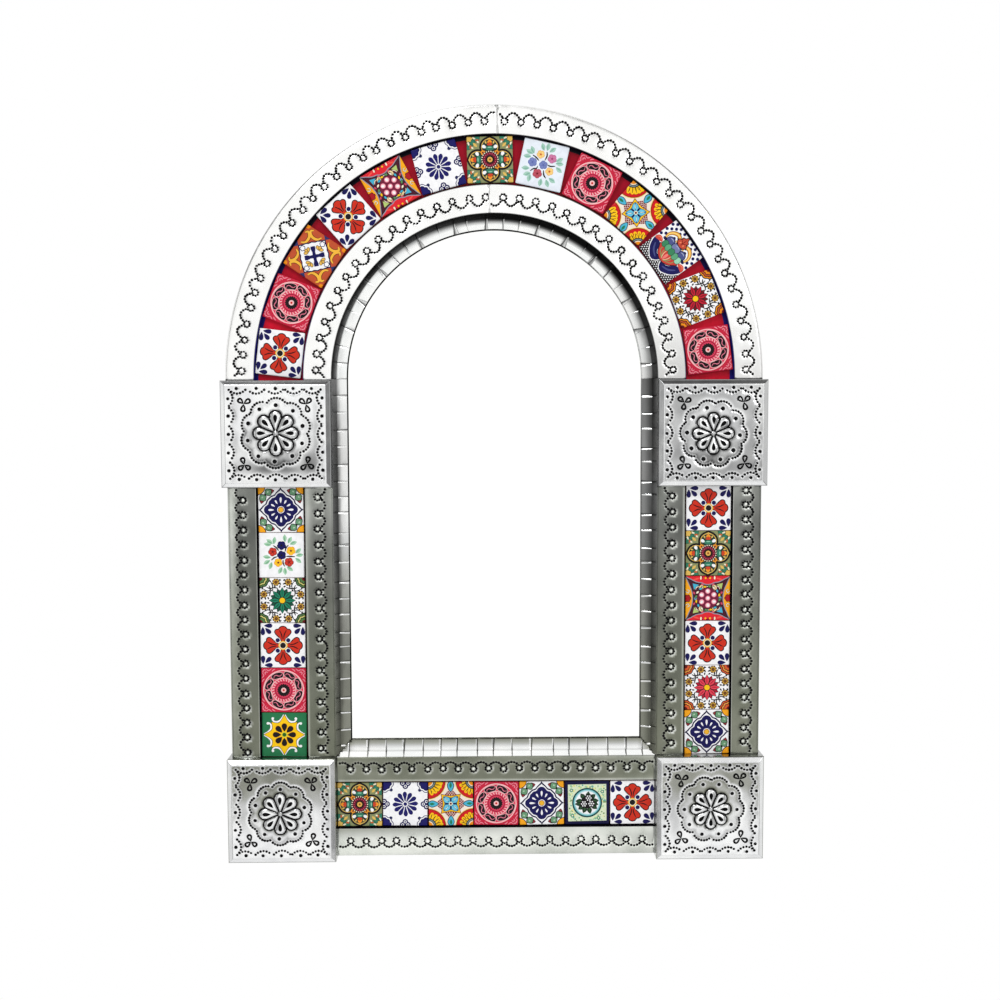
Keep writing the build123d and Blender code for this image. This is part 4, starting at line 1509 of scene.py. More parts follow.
def spread(dots, clear=-0.7):
    """The dots without those that come too close to one of the forty before them."""
    kept = []
    for station, run, radius in dots:
        near = (
            hypot(station - x, run - y) < radius + size + clear
            for x, y, size in kept[-40:])
        if not any(near):
            kept.append((station, run, radius))
    return kept


def front_fold():
    """Fold between the side flange and the outer band, as (run, depth)."""
    steps = [radians(22.5 * k) for k in range(5)]
    return [(fold_radius * (1 - cos(a)), band_y + fold_radius * (1 - sin(a))) for a in steps]


def fold_outer_edge(band):
    """Hem, flange and front fold."""
    band.fold_to(hem_width, hem_y).fold_to(0, hem_y)
    for depth in flange_lines:
        band.fold_to(0, depth)
    for run, depth in front_fold():
        band.fold_to(run, depth)


def arch_place(side, reference):
    """Place on the arch: straight at the foot, then round the centre."""
    def place(station, run, depth):
        radius = outer_radius - run
        if station < 0:
            return (side * radius, depth, arch_z + station)
        angle = station / reference
        return (side * radius * cos(angle), depth, arch_z + radius * sin(angle))
    return place


def arch_end(side, seam_x, radius, reference):
    """Station where a half of the arch meets the seam."""
    return reference * (pi / 2 - asin(side * seam_x / radius))


seam_gap = 0.12
outer_seam_x = 3.0
inner_seam_x = -6.0
fold_line = 0.8
arch_dents = 0.2
channel_dents = 0.9
channel_gleam = 1.25
outer_ring_line = 12.9
inner_ring_line = 13.6
outer_rise = 9.2
inner_rise = 9.0
channel_outer_line = 14.2
channel_inner_line = 13.7
arch_tone = 250


def foot_tones(length, foot):
    """Painted shade: the tone rises from a darker value at the foot to the arch's own over a length."""
    return lambda station, run: shade(np.interp(station, [-14, length], [foot, arch_tone]))


def outer_arch_band(side, word, count, gaps, foot):
    """Half of the arch's outer band."""
    reference = outer_radius - outer_band / 2
    end = arch_end(side, outer_seam_x, reference, reference) - seam_gap
    band = Sheet("punched_arch_outer_band_" + word, arch_foot_z - arch_z, end,
                 arch_place(side, reference), foot_tones(110, foot), arch_dents)
    fold_outer_edge(band)
    centre = outer_band - outer_ring_line
    ornament = loop_chain(41 + side, 0, end, count, gaps, centre, -1, outer_rise)
    band.punched_to(outer_band - fold_line, band_y, ornament)
    # Painted shadow: the last of the band and its fold into the channel are nearly black.
    band.fold_to(outer_band, band_y, 0, shade(12))
    band.fold_to(outer_band, band_y + return_depth, 0, shade(10))
    band.finished([bright_tin, punch_pit], "arch_outer_band_" + word)


def inner_arch_band(side, word, count, gaps, foot):
    """Half of the arch's inner band."""
    reference = inner_radius + inner_band / 2
    end = arch_end(side, inner_seam_x, reference, reference) - seam_gap
    start_run = outer_band + channel_width
    band = Sheet("punched_arch_inner_band_" + word, arch_foot_z - arch_z, end,
                 arch_place(side, reference), foot_tones(90, foot), arch_dents)
    # Painted shadow: the return and the fold out of the channel are dark.
    band.fold_to(start_run, band_y + return_depth, 0, shade(10))
    band.fold_to(start_run, band_y, 0, shade(60)).fold_to(start_run + fold_line, band_y)
    centre = start_run + inner_ring_line
    ornament = loop_chain(57 + side, 0, end, count, gaps, centre, 1, inner_rise)
    band.punched_to(start_run + inner_band - fold_line, band_y, ornament)
    # Painted shade: a grey line along the inner edge.
    band.fold_to(start_run + inner_band, band_y, 0, shade(120))
    band.finished([bright_tin, punch_pit], "arch_inner_band_" + word)


def hat_channel(name, node, ends, place, inner_width, counts, gaps, tones, rise, halo):
    """Sheet with outer band, tile channel and inner band, as in the legs and the rail.

    counts, gaps and tones each hold a value for the outer and one for the inner band.
    """
    band = Sheet(name, *ends, place, tones[0], channel_dents, channel_gleam, halo)
    fold_outer_edge(band)
    far_edge = outer_band + channel_width
    ornament = loop_chain(
        len(name) + 5, *ends, counts[0], gaps[0], outer_band - channel_outer_line, -1, rise)
    band.punched_to(outer_band - fold_line, band_y, ornament)
    # Painted highlight on the fold into the channel.
    band.fold_to(outer_band, band_y, 0, shade(205))
    band.fold_to(outer_band, tile_back_y, 2).fold_to(far_edge, tile_back_y, 2)
    band.fold_to(far_edge, band_y, 2)
    band.tone = tones[1]
    # Painted highlight on the fold out of the channel.
    band.fold_to(far_edge + fold_line, band_y, 0, shade(180))
    ornament = loop_chain(
        len(name) + 9, *ends, counts[1], gaps[1], far_edge + channel_inner_line, 1, rise)
    band.punched_to(far_edge + inner_width, band_y, ornament)
    band.finished([leg_tin, punch_pit, dark_enamel], node)


def spread_tones(depth_places, columns, along, runs):
    """Painted light and shade, read between columns of display values down a sheet."""
    def tone(station, run):
        share = (along[1] - station) / (along[1] - along[0])
        values = [np.interp(share, depth_places, column) for column in columns]
        return shade(np.interp(run, runs, values))
    return tone


def leg_place(side):
    """Place on a leg; stations are heights."""
    return lambda station, run, depth: (side * (outer_radius - run), depth, station)


def rail_place(station, run, depth):
    """Place on the rail; stations go from left to right."""
    return (station, depth, rail_bottom + run)


# ---- Corner blocks ----------------------------------------------------------------------
bevel_width = 5.5
bevel_depth = 2.6
block_y = node_box("upper_block_right")[0].y + 1.6
petal_count = 8
half_petal = 22.5
petal_head = 17.2
petal_head_radius = 6.58
petal_tip = petal_head + petal_head_radius
rosette_heart = 2.7
groove_half = 0.8
heart_swell = 1.2
petal_swell = 1.4
petal_groove = 0.7
face_dimple_depth = 0.45
face_dimple_width = 1.7
face_pit_depth = 0.6
corner_groove = 0.6
slot_depth = 1.3
block_dot = 1.5
lobe_count = 10
lobe_rise = 5.0
trefoil_reach = 33
border_corner = 3.4
border_scallops = 5
path_steps = 12
groove_width = 2.4


# What differs from block to block in the hand-punched ornament and its painted light and
# shade: middle is the rosette's place on the face, ring the radius of the lobes, lobe the
# angle of the first of them and rosette the size against the pattern's. bevels are the
# painted light and shade of the bevels, as display values below, right, above and left;
# sky and ground are the painted reflection on the upper and lower half of the face, and
# the last but one field holds painted patches of light and shade on it, each as (x, z,
# half width, half height, change). hole is the radius of the hole in each lobe.
Look = namedtuple("Look", "middle ring lobe rosette bevels sky ground clouds hole")
looks = {
    "upper_block_left": Look(
        (0.3, 1.1), 37.9, 88, 1.03, (255, 175, 96, 240), 250, 236,
        [(0, -38, 34, 5.5, -120), (36, -30, 7, 12, -90), (-6, -30, 26, 5, -90), (-44, 6, 5, 40, -22),
         (44, -6, 4, 36, -60), (18, -22, 10, 6, -60), (-28, -8, 6, 14, -50)], 2.3),
    "upper_block_right": Look(
        (-0.3, -0.7), 36.4, 105, 0.96, (255, 196, 132, 255), 196, 178,
        [(-38, 30, 12, 16, -20), (0, 42, 40, 5, -24), (8, -36, 34, 7, -36), (-30, -34, 12, 8, 50),
         (0, 22, 20, 6, 40), (40, 0, 6, 30, -20), (-8, -26, 22, 5, -40), (0, 0, 16, 16, 40)], 2.4),
    "lower_block_left": Look(
        (-1.3, -2.1), 35.4, 88, 0.99, (255, 236, 236, 236), 146, 246,
        [(-30, 44, 16, 6, -20), (34, -2, 12, 14, 40), (0, 0, 18, 18, 26), (-12, 20, 10, 8, -14)], 2.1),
    "lower_block_right": Look(
        (0.4, -0.4), 36.8, 107.5, 0.96, (255, 240, 236, 236), 158, 242,
        [(-30, 20, 14, 20, -10), (36, 6, 8, 22, 22), (0, 0, 18, 18, 24), (14, 34, 20, 8, -10)], 2.1),
}


def scallop_border(half_width, half_height, hand):
    """Five dotted scallops along each side of a block's face, one hole in each."""
    dots = []
    for quarter in range(4):
        long, out = (half_width, half_height) if quarter % 2 == 0 else (half_height, half_width)
        span = 2 * (long - border_corner) / border_scallops
        for k in range(border_scallops):
            start = -long + border_corner + span * k
            wobble = hand.uniform(-0.5, 0.5)
            path = []
            for step in range(path_steps + 1):
                share = 0.06 + 0.88 * step / path_steps
                inward = 2.7 + (6.0 + wobble) * sin(pi * share) ** 0.7
                path.append((start + span * share, out - inward))
            for point in evenly(path, dot_spacing):
                dots.append((*turned([point], 90 * quarter)[0], block_dot * hand.uniform(0.86, 1.06)))
            middle = (start + span / 2 + hand.uniform(-1, 1), out - 3.4 + hand.uniform(-0.4, 0.4))
            dots.append((*turned([middle], 90 * quarter)[0], hand.uniform(1.75, 2.05)))
    return dots


def lobe_reach(angle, look):
    """Radius of the lobed ring at an angle in degrees."""
    share = ((angle - look.lobe) % (360 / lobe_count)) / (360 / lobe_count)
    share = min(share, 1 - share)
    return look.ring - lobe_rise * (1 - cos(pi * share) ** 0.6)


def lobed_ring(look, hand):
    """Ring of dotted lobes with a larger hole in each."""
    dots = []
    for lobe in range(lobe_count):
        middle = look.lobe + 360 / lobe_count * lobe + hand.uniform(-1.5, 1.5)
        path = []
        for step in range(path_steps + 1):
            angle = middle + (step / path_steps - 0.5) * 0.9 * 360 / lobe_count
            reach = lobe_reach(angle, look)
            path.append((look.middle[0] + reach * cos(radians(angle)),
                         look.middle[1] + reach * sin(radians(angle))))
        for point in evenly(path, dot_spacing):
            dots.append((*point, block_dot * hand.uniform(0.86, 1.06)))
        hole = look.ring - 7.4 + hand.uniform(-0.8, 0.8)
        a = radians(middle)
        x, z = look.middle[0] + hole * cos(a), look.middle[1] + hole * sin(a)
        dots.append((x, z, look.hole * hand.uniform(0.94, 1.06)))
    return dots


def drawn_in(outline, width):
    """Outline moved inward by a width."""
    centre = np.mean(np.array(outline), axis=0)
    inner = []
    for x, y in outline:
        dx, dy = x - centre[0], y - centre[1]
        size = hypot(dx, dy)
        share = max(size - width, size * 0.25) / size
        inner.append((centre[0] + dx * share, centre[1] + dy * share))
    return inner


loop_turns = ((50, 140, 290), (135, 30, 260), (110, 215, 330), (80, 220, 330))


def trefoils(reach, hand):
    """Outlines of three small loops in each corner of the face."""
    grooves = []
    for quarter, turns in enumerate(loop_turns):
        x, z = turned([(reach, reach)], 90 * quarter)[0]
        x, z = x + hand.uniform(-1, 1), z + hand.uniform(-1, 1)
        for angle in turns:
            loop = drop(0, 0, hand.uniform(8.4, 9.4), 6.4, angle + hand.uniform(-6, 6), 12)
            grooves.append(moved(loop, x, z))
    return grooves


def petal_gap(x, y):
    """Signed distance to the outline of the nearest petal, positive inside it."""
    radius = hypot(x, y)
    lean = radians(abs((degrees(atan2(y, x)) + half_petal) % (2 * half_petal) - half_petal))
    along, across = radius * cos(lean), radius * sin(lean)
    slope = radians(half_petal)
    if along * cos(slope) + across * sin(slope) < petal_head * cos(slope):
        return along * sin(slope) - across * cos(slope)
    return petal_head_radius - hypot(along - petal_head, across)


def petal_outline(turn, inset):
    """Outline of one petal: two straight sides and a round head."""
    reach = 90 + half_petal
    arc = [radians(-reach + 2 * reach * k / 15) for k in range(16)]
    radius = petal_head_radius - inset
    head = [(petal_head + radius * cos(a), radius * sin(a)) for a in arc]
    root = (max(inset / sin(radians(half_petal)), rosette_heart), 0)
    return turned([root, *head], turn)


def rosette_height(x, y):
    """Height of the rosette's swollen petals, its grooves and its heart."""
    radius = hypot(x, y)
    if radius < rosette_heart:
        return heart_swell * sqrt(max(1 - (radius / rosette_heart) ** 2, 0))
    gap = petal_gap(x, y)
    if gap < -groove_half:
        return -0.4 * bell(gap + groove_half, 1.2)
    if gap < groove_half:
        return -petal_groove
    return petal_swell * sqrt(min((gap - groove_half) / 4.4, 1.0))


corner_share = 0.006
side_steps = 26
face_grid_step = 1.15
lower_notch = leg_bottom - 8.6
upper_notch = float("-inf")


class Block:
    """Pressed tin box with a bevelled front and punched, raised ornament.

    Its inner wall is left open above the height notch, where the lip's flange passes.
    """

    def __init__(self, node, side, notch):
        low, high = node_box(node)
        self.node = node
        self.side = side
        self.notch = notch
        self.look = looks[node]
        self.centre = ((low.x + high.x) / 2, (low.z + high.z) / 2)
        self.half = ((high.x - low.x) / 2, (high.z - low.z) / 2)
        self.hand = random.Random(len(node) * 7 + side)
        self.points, self.tones, self.faces, self.slots = [], [], [], []

    def frame_row(self, inset, depth, tones):
        """Row of points round the block at one depth, from the lower left corner."""
        wide, high = self.half[0] - inset, self.half[1] - inset
        steps = [k / side_steps for k in range(1, side_steps)]
        shares = [0.0, corner_share, *steps, 1 - corner_share]
        corners = [(-wide, -high), (wide, -high), (wide, high), (-wide, high)]
        row = []
        for side, ((x0, z0), (x1, z1)) in enumerate(zip(corners, corners[1:] + corners[:1])):
            for share in shares:
                x, z = x0 + (x1 - x0) * share, z0 + (z1 - z0) * share
                row.append(self.add(x, z, depth, shade(tones[side])))
        return row

    def add(self, x, z, depth, tone):
        """New point, at a place from the block's middle; its number."""
        self.points.append((self.centre[0] + x, depth, self.centre[1] + z))
        self.tones.append(tone)
        return len(self.points) - 1

    def shine(self, x, z):
        """Painted light and shade of the worked face at a point, as a display value: darker inside
        the lobed ring, most on its lower side, with a painted highlight just outside it.
        """
        look = self.look
        share = min(1.0, max(0.0, 0.5 + z / self.half[1] * 0.75))
        share = share * share * (3 - 2 * share)
        value = look.ground + (look.sky - look.ground) * share
        for cx, cz, wide, high, change in look.clouds:
            value += change * exp(-((x - cx) / wide) ** 2 - ((z - cz) / high) ** 2)
        seed = len(self.node) * 2.3 + self.side
        value += 26 * noise.noise(Vector((x / 15, z / 15, seed + 3)))
        dx, dz = x - look.middle[0], z - look.middle[1]
        angle, radius = degrees(atan2(dz, dx)), hypot(dx, dz)
        gap = lobe_reach(angle, look) - radius
        # Painted shade inside the lobed ring, strongest on its lower side; painted highlight outside it.
        low_side = 0.35 + 0.65 * max(0.0, -sin(radians(angle + 15)))
        if gap > 0:
            value -= 84 * low_side * bell(gap - 1.2, 3.2)
        else:
            value += (252 - value) * 0.65 * bell(gap + 1.8, 1.6)
        return value

    def skirt(self, rows):
        """Faces between neighbouring rows, left open where the lip's flange passes."""
        for back, front in zip(rows, rows[1:]):
            count = len(back)
            for k in range(count):
                after = (k + 1) % count
                middle = self.points[back[k]]
                deep = self.points[front[k]][1] > band_back_y - 0.1
                inner_side = abs(abs(middle[0]) - inner_radius) < 0.2
                far = self.points[back[after]]
                along = abs(abs(far[0]) - inner_radius) < 0.2
                if deep and inner_side and along and max(middle[2], far[2]) > self.notch:
                    continue
                self.faces.append((back[k], back[after], front[after], front[k]))
                self.slots.append(0)

    def on_face(self, shape):
        """Rosette's shape at its size and place on this block's face."""
        size = self.look.rosette
        return moved([(x * size, y * size) for x, y in shape], *self.look.middle)

    def on_rosette(self, x, z):
        """Point of the face as the rosette's own place."""
        dx, dz = self.look.middle
        return (x - dx) / self.look.rosette, (z - dz) / self.look.rosette

    def face(self, rim):
        """Punched front inside the bevel."""
        wide, high = self.half[0] - bevel_width, self.half[1] - bevel_width
        dots = spread(lobed_ring(self.look, self.hand) + scallop_border(wide, high, self.hand), -0.5)
        grooves = trefoils(trefoil_reach, self.hand)
        turns = [2 * half_petal * k for k in range(petal_count)]
        pits = [self.on_face(turned(drop(10.2, 0, 9.2, 4.3, 0), turn)) for turn in turns]
        tree = places_tree(dots)
        local = [(self.points[k][0] - self.centre[0], self.points[k][2] - self.centre[1]) for k in rim]
        grid = self.grid(wide, high, dots, tree)
        loops = []
        for x, z, radius in dots:
            loops.append(disc(x, z, radius, pit_points))
            grid += disc(x, z, radius * pit_floor_share, pit_floor_points)
            grid.append((x, z))
            grid += self.clear_of_dots(disc(x, z, radius + 0.45, 10), tree)
        for outline in grooves:
            loops += [drawn_in(outline, inset) for inset in (-0.7, 0.0, groove_width / 2, groove_width)]
        for pit in pits:
            loops += [pit, shrunk(pit, 0.7)]
        for inset in (groove_half, -groove_half):
            loops += [self.on_face(petal_outline(turn, inset)) for turn in turns]
        count = len(rim)
        cuts = [(k, (k + 1) % count) for k in range(count)]
        vertices, triangles, origins = triangulated(local + grid, loops, cuts)
        sunk = np.zeros(len(vertices))
        for outline in grooves:
            bed = inside(drawn_in(outline, 0.2), vertices)
            sunk += corner_groove * (bed & ~inside(drawn_in(outline, groove_width - 0.2), vertices))
        for pit in pits:
            sunk += slot_depth * inside(shrunk(pit, 0.75), vertices)
        numbers = []
        for index, ((x, z), origin) in enumerate(zip(vertices.tolist(), origins)):
            first = min(origin) if len(origin) else count
            if first < count:
                numbers.append(rim[first])
                continue
            height, tone = self.relief(x, z, tree, dots, wide, high)
            numbers.append(self.add(x, z, block_y - height + sunk[index], tone))
        centres = vertices[triangles].mean(axis=1)
        dark = np.zeros(len(triangles), bool)
        for outline in grooves:
            dark |= inside(outline, centres) & ~inside(drawn_in(outline, groove_width), centres)
        for pit in pits:
            dark |= inside(pit, centres)
        for corners, middle, is_dark in zip(triangles.tolist(), centres.tolist(), dark):
            self.faces.append(tuple(numbers[k] for k in corners))
            self.slots.append(1 if is_dark or self.blackened(middle, tree, dots) else 0)

    def grid(self, wide, high, dots, tree):
        """Points spread over the face, closer at the rosette."""
        points = []
        step = face_grid_step
        for i in range(int(2 * wide / step)):
            for j in range(int(2 * high / step)):
                x, z = -wide + step * (i + 0.6), -high + step * (j + 0.6)
                fine = hypot(*self.on_rosette(x, z)) < petal_tip + 2
                if not fine and (i + j) % 2:
                    continue
                _, index, gap = tree.find((x, z, 0))
                if gap > dots[index][2] + 0.5:
                    points.append((x, z))
        return points

    def clear_of_dots(self, points, tree):
        """Those of the points round a dot that have it as their nearest."""
        middle = np.mean(np.array(points), axis=0)
        own = tree.find((*middle, 0))[1]
        return [point for point in points if tree.find((*point, 0))[1] == own]

    def blackened(self, point, tree, dots):
        """Whether a point lies in a dot or on the outline of a petal."""
        _, index, gap = tree.find((*point, 0))
        if gap < dots[index][2]:
            return True
        x, z = self.on_rosette(*point)
        outline = hypot(x, z) > rosette_heart and abs(petal_gap(x, z)) < groove_half
        return outline or rosette_heart < hypot(x, z) < rosette_heart + 1.1

    def relief(self, x, z, tree, dots, wide, high):
        """Height of the face's front, and its painted brightness, at a point."""
        _, index, gap = tree.find((x, z, 0))
        radius = dots[index][2]
        fade = max(0.0, min(1.0, (wide - abs(x)) / 3, (high - abs(z)) / 3))
        seed = len(self.node) * 2.3 + self.side
        slow = noise.noise(Vector((x / 24, z / 24, seed)))
        quick = noise.noise(Vector((x / 10, z / 10, seed + 5)))
        height = (0.6 * slow + 0.2 * quick) * fade
        height -= face_dimple_depth * fade * bell(max(gap - radius, 0), face_dimple_width)
        if gap < radius:
            height -= face_pit_depth * (1 - (gap / radius) ** 2)
        # Painted light and shade: the face's own, petals white but shaded near their outline, shade just
        # outside them and a painted highlight round each dot.
        value = self.shine(x, z)
        own = self.on_rosette(x, z)
        inward = petal_gap(*own)
        if inward > 0:
            value = 255 - 70 * bell(inward - groove_half, 1.1)
        elif inward > -4:
            value -= 60 * bell(inward + groove_half, 1.6)
        value += (254 - value) * 0.6 * bell(gap - radius - 0.5, 0.5)
        return height + rosette_height(*own), shade(value)

    def finished(self):
        """The block as an object, from its hem on the wall plane to its face."""
        # The rows carry painted light and shade: each bevel side its own value, side walls a little darker, a
        # darker line at the outer edge and light lines where the bevel meets the face.
        bevels = self.look.bevels
        side = [value * 0.8 for value in bevels]
        edge = [value * 0.5 for value in bevels]
        face = [self.shine(0, 0)] * 4
        rows = [
            self.frame_row(0, -0.02, side),
            self.frame_row(0, -9, side),
            self.frame_row(0, band_back_y, side),
            self.frame_row(0, block_y + bevel_depth + 0.9, side),
            self.frame_row(0.05, block_y + bevel_depth + 0.3, edge),
            self.frame_row(0.7, block_y + bevel_depth - 0.2, [190] * 4),
            self.frame_row(1.2, block_y + bevel_depth - 0.45, bevels),
            self.frame_row(bevel_width - 0.8, block_y + 0.25, bevels),
            self.frame_row(bevel_width - 0.6, block_y + 0.15, [238] * 4),
            self.frame_row(bevel_width - 0.1, block_y, [230] * 4),
            self.frame_row(bevel_width, block_y, face),
        ]
        self.skirt(rows)
        self.face(rows[-1])
        name = "pressed_" + self.node
        piece = new_object(name, self.points, self.faces, [block_tin, punch_pit], self.slots)
        finish_tin(piece, self.node, self.tones, sheet)


def shrunk(shape, share):
    """Shape scaled about its own middle."""
    cx, cy = np.mean(np.array(shape), axis=0)
    return [(cx + (x - cx) * share, cy + (y - cy) * share) for x, y in shape]


# ---- Crimped lip ----------------------------------------------------------------------------
wall_run = 5.0
wall_drop = 5.6
panel_drop = 3.2
lip_flange = 5.6
edge_share = 0.9
crease_skew = 0.9
crease_depth = 0.42
crease_half = 0.035
flash_strength = 0.75
crease_shade = 0.3
leg_flash = 0.915
even_flash = 0.94
bottom_stretch = (node_box("crimped_lip_bottom")[1].z - rail_top) / lip_end_run


def lip_profile(stretch):
    """Lines across the lip: (run, depth, share of the wall or panel, 'wall' or 'panel')."""
    panel = lip_end_run - wall_run
    lines = [(-lip_flange * stretch, band_back_y, 0.0, "flange"), (0.0, band_back_y, 0.0, "flange")]
    for share in (0.12, 0.35, 0.6, 0.85, 1.0):
        lines.append((wall_run * share * stretch, band_back_y + wall_drop * share, share, "wall"))
    for share in (0.05, 0.16, 0.32, 0.5, 0.68, 0.84, edge_share - 0.02, edge_share, 1.0):
        run = (wall_run + panel * share) * stretch
        lines.append((run, band_back_y + wall_drop + panel_drop * share, share, "panel"))
    return lines


def crease_places(start, end, count, hand):
    """Creases along a lip, unevenly spaced as hand-crimped ones are."""
    pitch = (end - start) / count
    inner = [start + pitch * (k + hand.uniform(-0.16, 0.16)) for k in range(1, count)]
    return [start, *inner, end]


def lip_strip(name, node, start, end, count, place, stretch, tones, seed, flash_from, cuts=()):
    """Strip of lip between creases.

    tones gives the painted light and shade as a display value at (part, share across it,
    painted brightness of the panel, share along the strip). Each panel carries a painted
    highlight from the share flash_from of it up to the crease after it, and a painted shadow
    just after each crease. Where the strip is cut, it lies calm near its ends.
    """
    hand = random.Random(seed)
    creases = crease_places(start, end, count, hand)
    shares = (0.0, 0.02, 0.035, 0.06, 0.2, 0.36, 0.52, 0.68, flash_from - 0.02, flash_from, 0.955, 0.98)
    stations = []
    for index, (low, high) in enumerate(zip(creases, creases[1:])):
        tilt, swell = hand.uniform(-0.28, 0.28), hand.uniform(0.1, 0.4)
        bright = hand.uniform(-1, 1)
        for share in shares:
            stations.append((low + (high - low) * share, share, tilt, swell, bright, index))
    stations.append((end, 0.0, 0.0, 0.2, 0.0, count))
    points, values = [], []
    profile = lip_profile(stretch)
    for station, share, tilt, swell, bright, index in stations:
        skew = crease_skew * sin(index * 2.7 + seed)
        calm = min(1.0, abs(station - start) / 16, abs(end - station) / 16) if cuts else 1.0
        shadow = share < 0.03 and calm > 0.6
        flash = share >= flash_from and calm > 0.6
        for run, depth, across, part in profile:
            height = 0.0
            if part != "flange":
                crease = bell(min(share, 1 - share), crease_half)
                loose = 1.0 if part == "panel" else 0.6 * across
                height = loose * (swell * sin(pi * share) + tilt * (share - 0.5))
                height -= crease_depth * crease
                height += 0.1 * noise.noise(Vector((station / 7, run / 5, seed)))
                height -= 0.12 * sin(pi * across) if part == "panel" else 0.0
            height *= calm
            points.append(place(station + skew * calm * across * (part == "panel"), run, depth - height))
            level = tones(part, across, bright, (station - start) / (end - start))
            # Painted highlight before each crease, painted shadow just after it.
            if part == "panel" and flash and across < edge_share:
                level += (255 - level) * flash_strength
            elif part != "flange" and shadow:
                level *= crease_shade
            values.append(shade(level))
    width = len(profile)
    faces = []
    for k in range(len(stations) - 1):
        for j in range(width - 1):
            first = k * width + j
            faces.append((first, first + 1, first + width + 1, first + width))
    finish_tin(new_object(name, points, faces, [lip_tin], angle=26), node, values, lip_sheet, cuts)


def mitre(side, way):
    """Plane of a lower corner, its normal looking up and outward, or the other way at -1."""
    return (side * inner_radius, 0, rail_top), (way * side * bottom_stretch, 0, way)


def leg_lip_tone(reach, walls, bends, panels, edges):
    """Painted light and shade of a leg's lip, read between display values given up the leg.

    The panel's painted reflection brightens from its bend over a reach, given as a share of its
    width, and the strip by the glass takes painted values of its own.
    """
    def tone(part, across, bright, share):
        wall, bend, panel, edge = (
            np.interp(share, lip_heights, values) for values in (walls, bends, panels, edges))
        if part == "flange":
            return wall
        if part == "wall":
            return wall + (bend - wall) * across
        if across >= edge_share:
            return edge
        return bend + (panel * (1 + 0.07 * bright) - bend) * min(1.0, across / reach) ** 0.7
    return tone


lip_heights = (0.0, 0.3, 0.5, 0.64, 0.78, 0.9, 1.0)
leg_lip_tones = {
    -1: leg_lip_tone(
        0.35, (110, 130, 116, 100, 104, 112, 129), (90, 62, 55, 62, 70, 100, 138),
        (130, 122, 170, 232, 225, 230, 240), (10, 20, 30, 8, 8, 20, 30)),
    1: leg_lip_tone(
        0.7, (110, 90, 100, 106, 102, 100, 105), (85, 55, 62, 66, 70, 50, 30),
        (134, 132, 124, 128, 134, 126, 116), (10, 110, 122, 112, 122, 140, 140)),
}


def arch_lip_tone(part, across, bright, share):
    """Painted light and shade of the arch's lip: dark walls and panels that grow white towards
    the glass, read round the arch, and a dark painted line by the glass except on the right.

    The three shades are those of its top, its left and its right.
    """
    left = np.interp(share, (0.5, 0.8), (0.0, 1.0))
    right = np.interp(share, (0.04, 0.3), (1.0, 0.0))
    if part != "panel":
        shades = (17, 25 + 110 * across, 60)
    elif across >= edge_share:
        return np.interp(share, (0.26, 0.34), (215, 20))
    else:
        shades = (
            np.interp(across, (0.0, 0.06, 0.24, 0.4, 0.56), (20, 34, 120, 240, 255)),
            np.interp(across, (0.0, 0.07, 0.2), (160, 220, 255)),
            np.interp(across, (0.0, 0.2, 0.5, 0.8), (95, 150, 190, 215)) + 6 * bright,
        )
    return shades[0] * (1 - left - right) + shades[1] * left + shades[2] * right


def bottom_lip_tone(part, across, bright, share):
    """Painted light and shade of the bottom lip: white walls over a grey bend, panels from white
    at the bend to grey, painted shade at the corners and a dark line by the glass.
    """
    if part == "wall":
        return 254 - 50 * (across > 0.9)
    if part == "flange":
        return 120
    if across >= edge_share:
        return 70
    corner = np.interp(min(share, 1 - share), (0.03, 0.07), (0.6, 1.0))
    panel = np.interp(across, (0.0, 0.1, 0.3, 0.6, 0.9), (196, 246, 226, 166 + 12 * bright, 132))
    return corner * panel


def lip_on_leg(side):
    """Place on a leg's lip; stations go up."""
    return lambda station, run, depth: (side * (inner_radius - run), depth, station)


def lip_on_arch(station, run, depth):
    """Place on the arch's lip; stations are degrees from the right foot."""
    radius = inner_radius - run
    angle = radians(station)
    return (radius * cos(angle), depth, arch_z + radius * sin(angle))


def lip_on_rail(station, run, depth):
    """Place on the bottom lip; stations go from left to right."""
    return (station, depth, rail_top + run)


# ---- The pieces ---------------------------------------------------------------------------------
leg_span = (leg_bottom, leg_top)
rail_span = (-inner_radius, inner_radius)
inner_edge = outer_band + channel_width
down = (0.0, 0.08, 0.16, 0.26, 0.4, 0.6, 1.0)
leg_outer_runs = (0.0, 4.5, 13.0, outer_band)
leg_inner_runs = (inner_edge, inner_edge + 8, inner_edge + 20, outer_radius - inner_radius)
rail_outer_runs = (0.0, 6.0, 20.0, outer_band)
rail_inner_runs = (
    inner_edge, inner_edge + 8, inner_edge + rail_upper_band - 5, inner_edge + rail_upper_band)
# Painted light and shade of the leg bands, as display values: each column runs down a band at one run across
# it.
leg_tones = {
    -1: (
        spread_tones(down, (
            (195, 220, 212, 200, 190, 176, 158), (195, 222, 210, 192, 172, 158, 146),
            (146, 118, 108, 100, 112, 112, 122), (118, 130, 102, 122, 100, 110, 126),
        ), leg_span, leg_outer_runs),
        spread_tones(down, (
            (208, 212, 187, 150, 120, 122, 120), (150, 152, 132, 116, 108, 118, 120),
            (150, 142, 126, 112, 108, 118, 122), (186, 164, 146, 130, 116, 132, 118),
        ), leg_span, leg_inner_runs),
    ),
    1: (
        spread_tones(down, (
            (136, 127, 117, 125, 130, 131, 142), (142, 124, 113, 121, 126, 131, 142),
            (148, 122, 110, 117, 122, 120, 140), (168, 126, 133, 124, 120, 118, 138),
        ), leg_span, leg_outer_runs),
        spread_tones(down, (
            (118, 104, 96, 106, 117, 116, 124), (126, 114, 98, 112, 115, 108, 128),
            (150, 134, 114, 128, 120, 108, 132), (114, 124, 114, 105, 96, 118, 122),
        ), leg_span, leg_inner_runs),
    ),
}
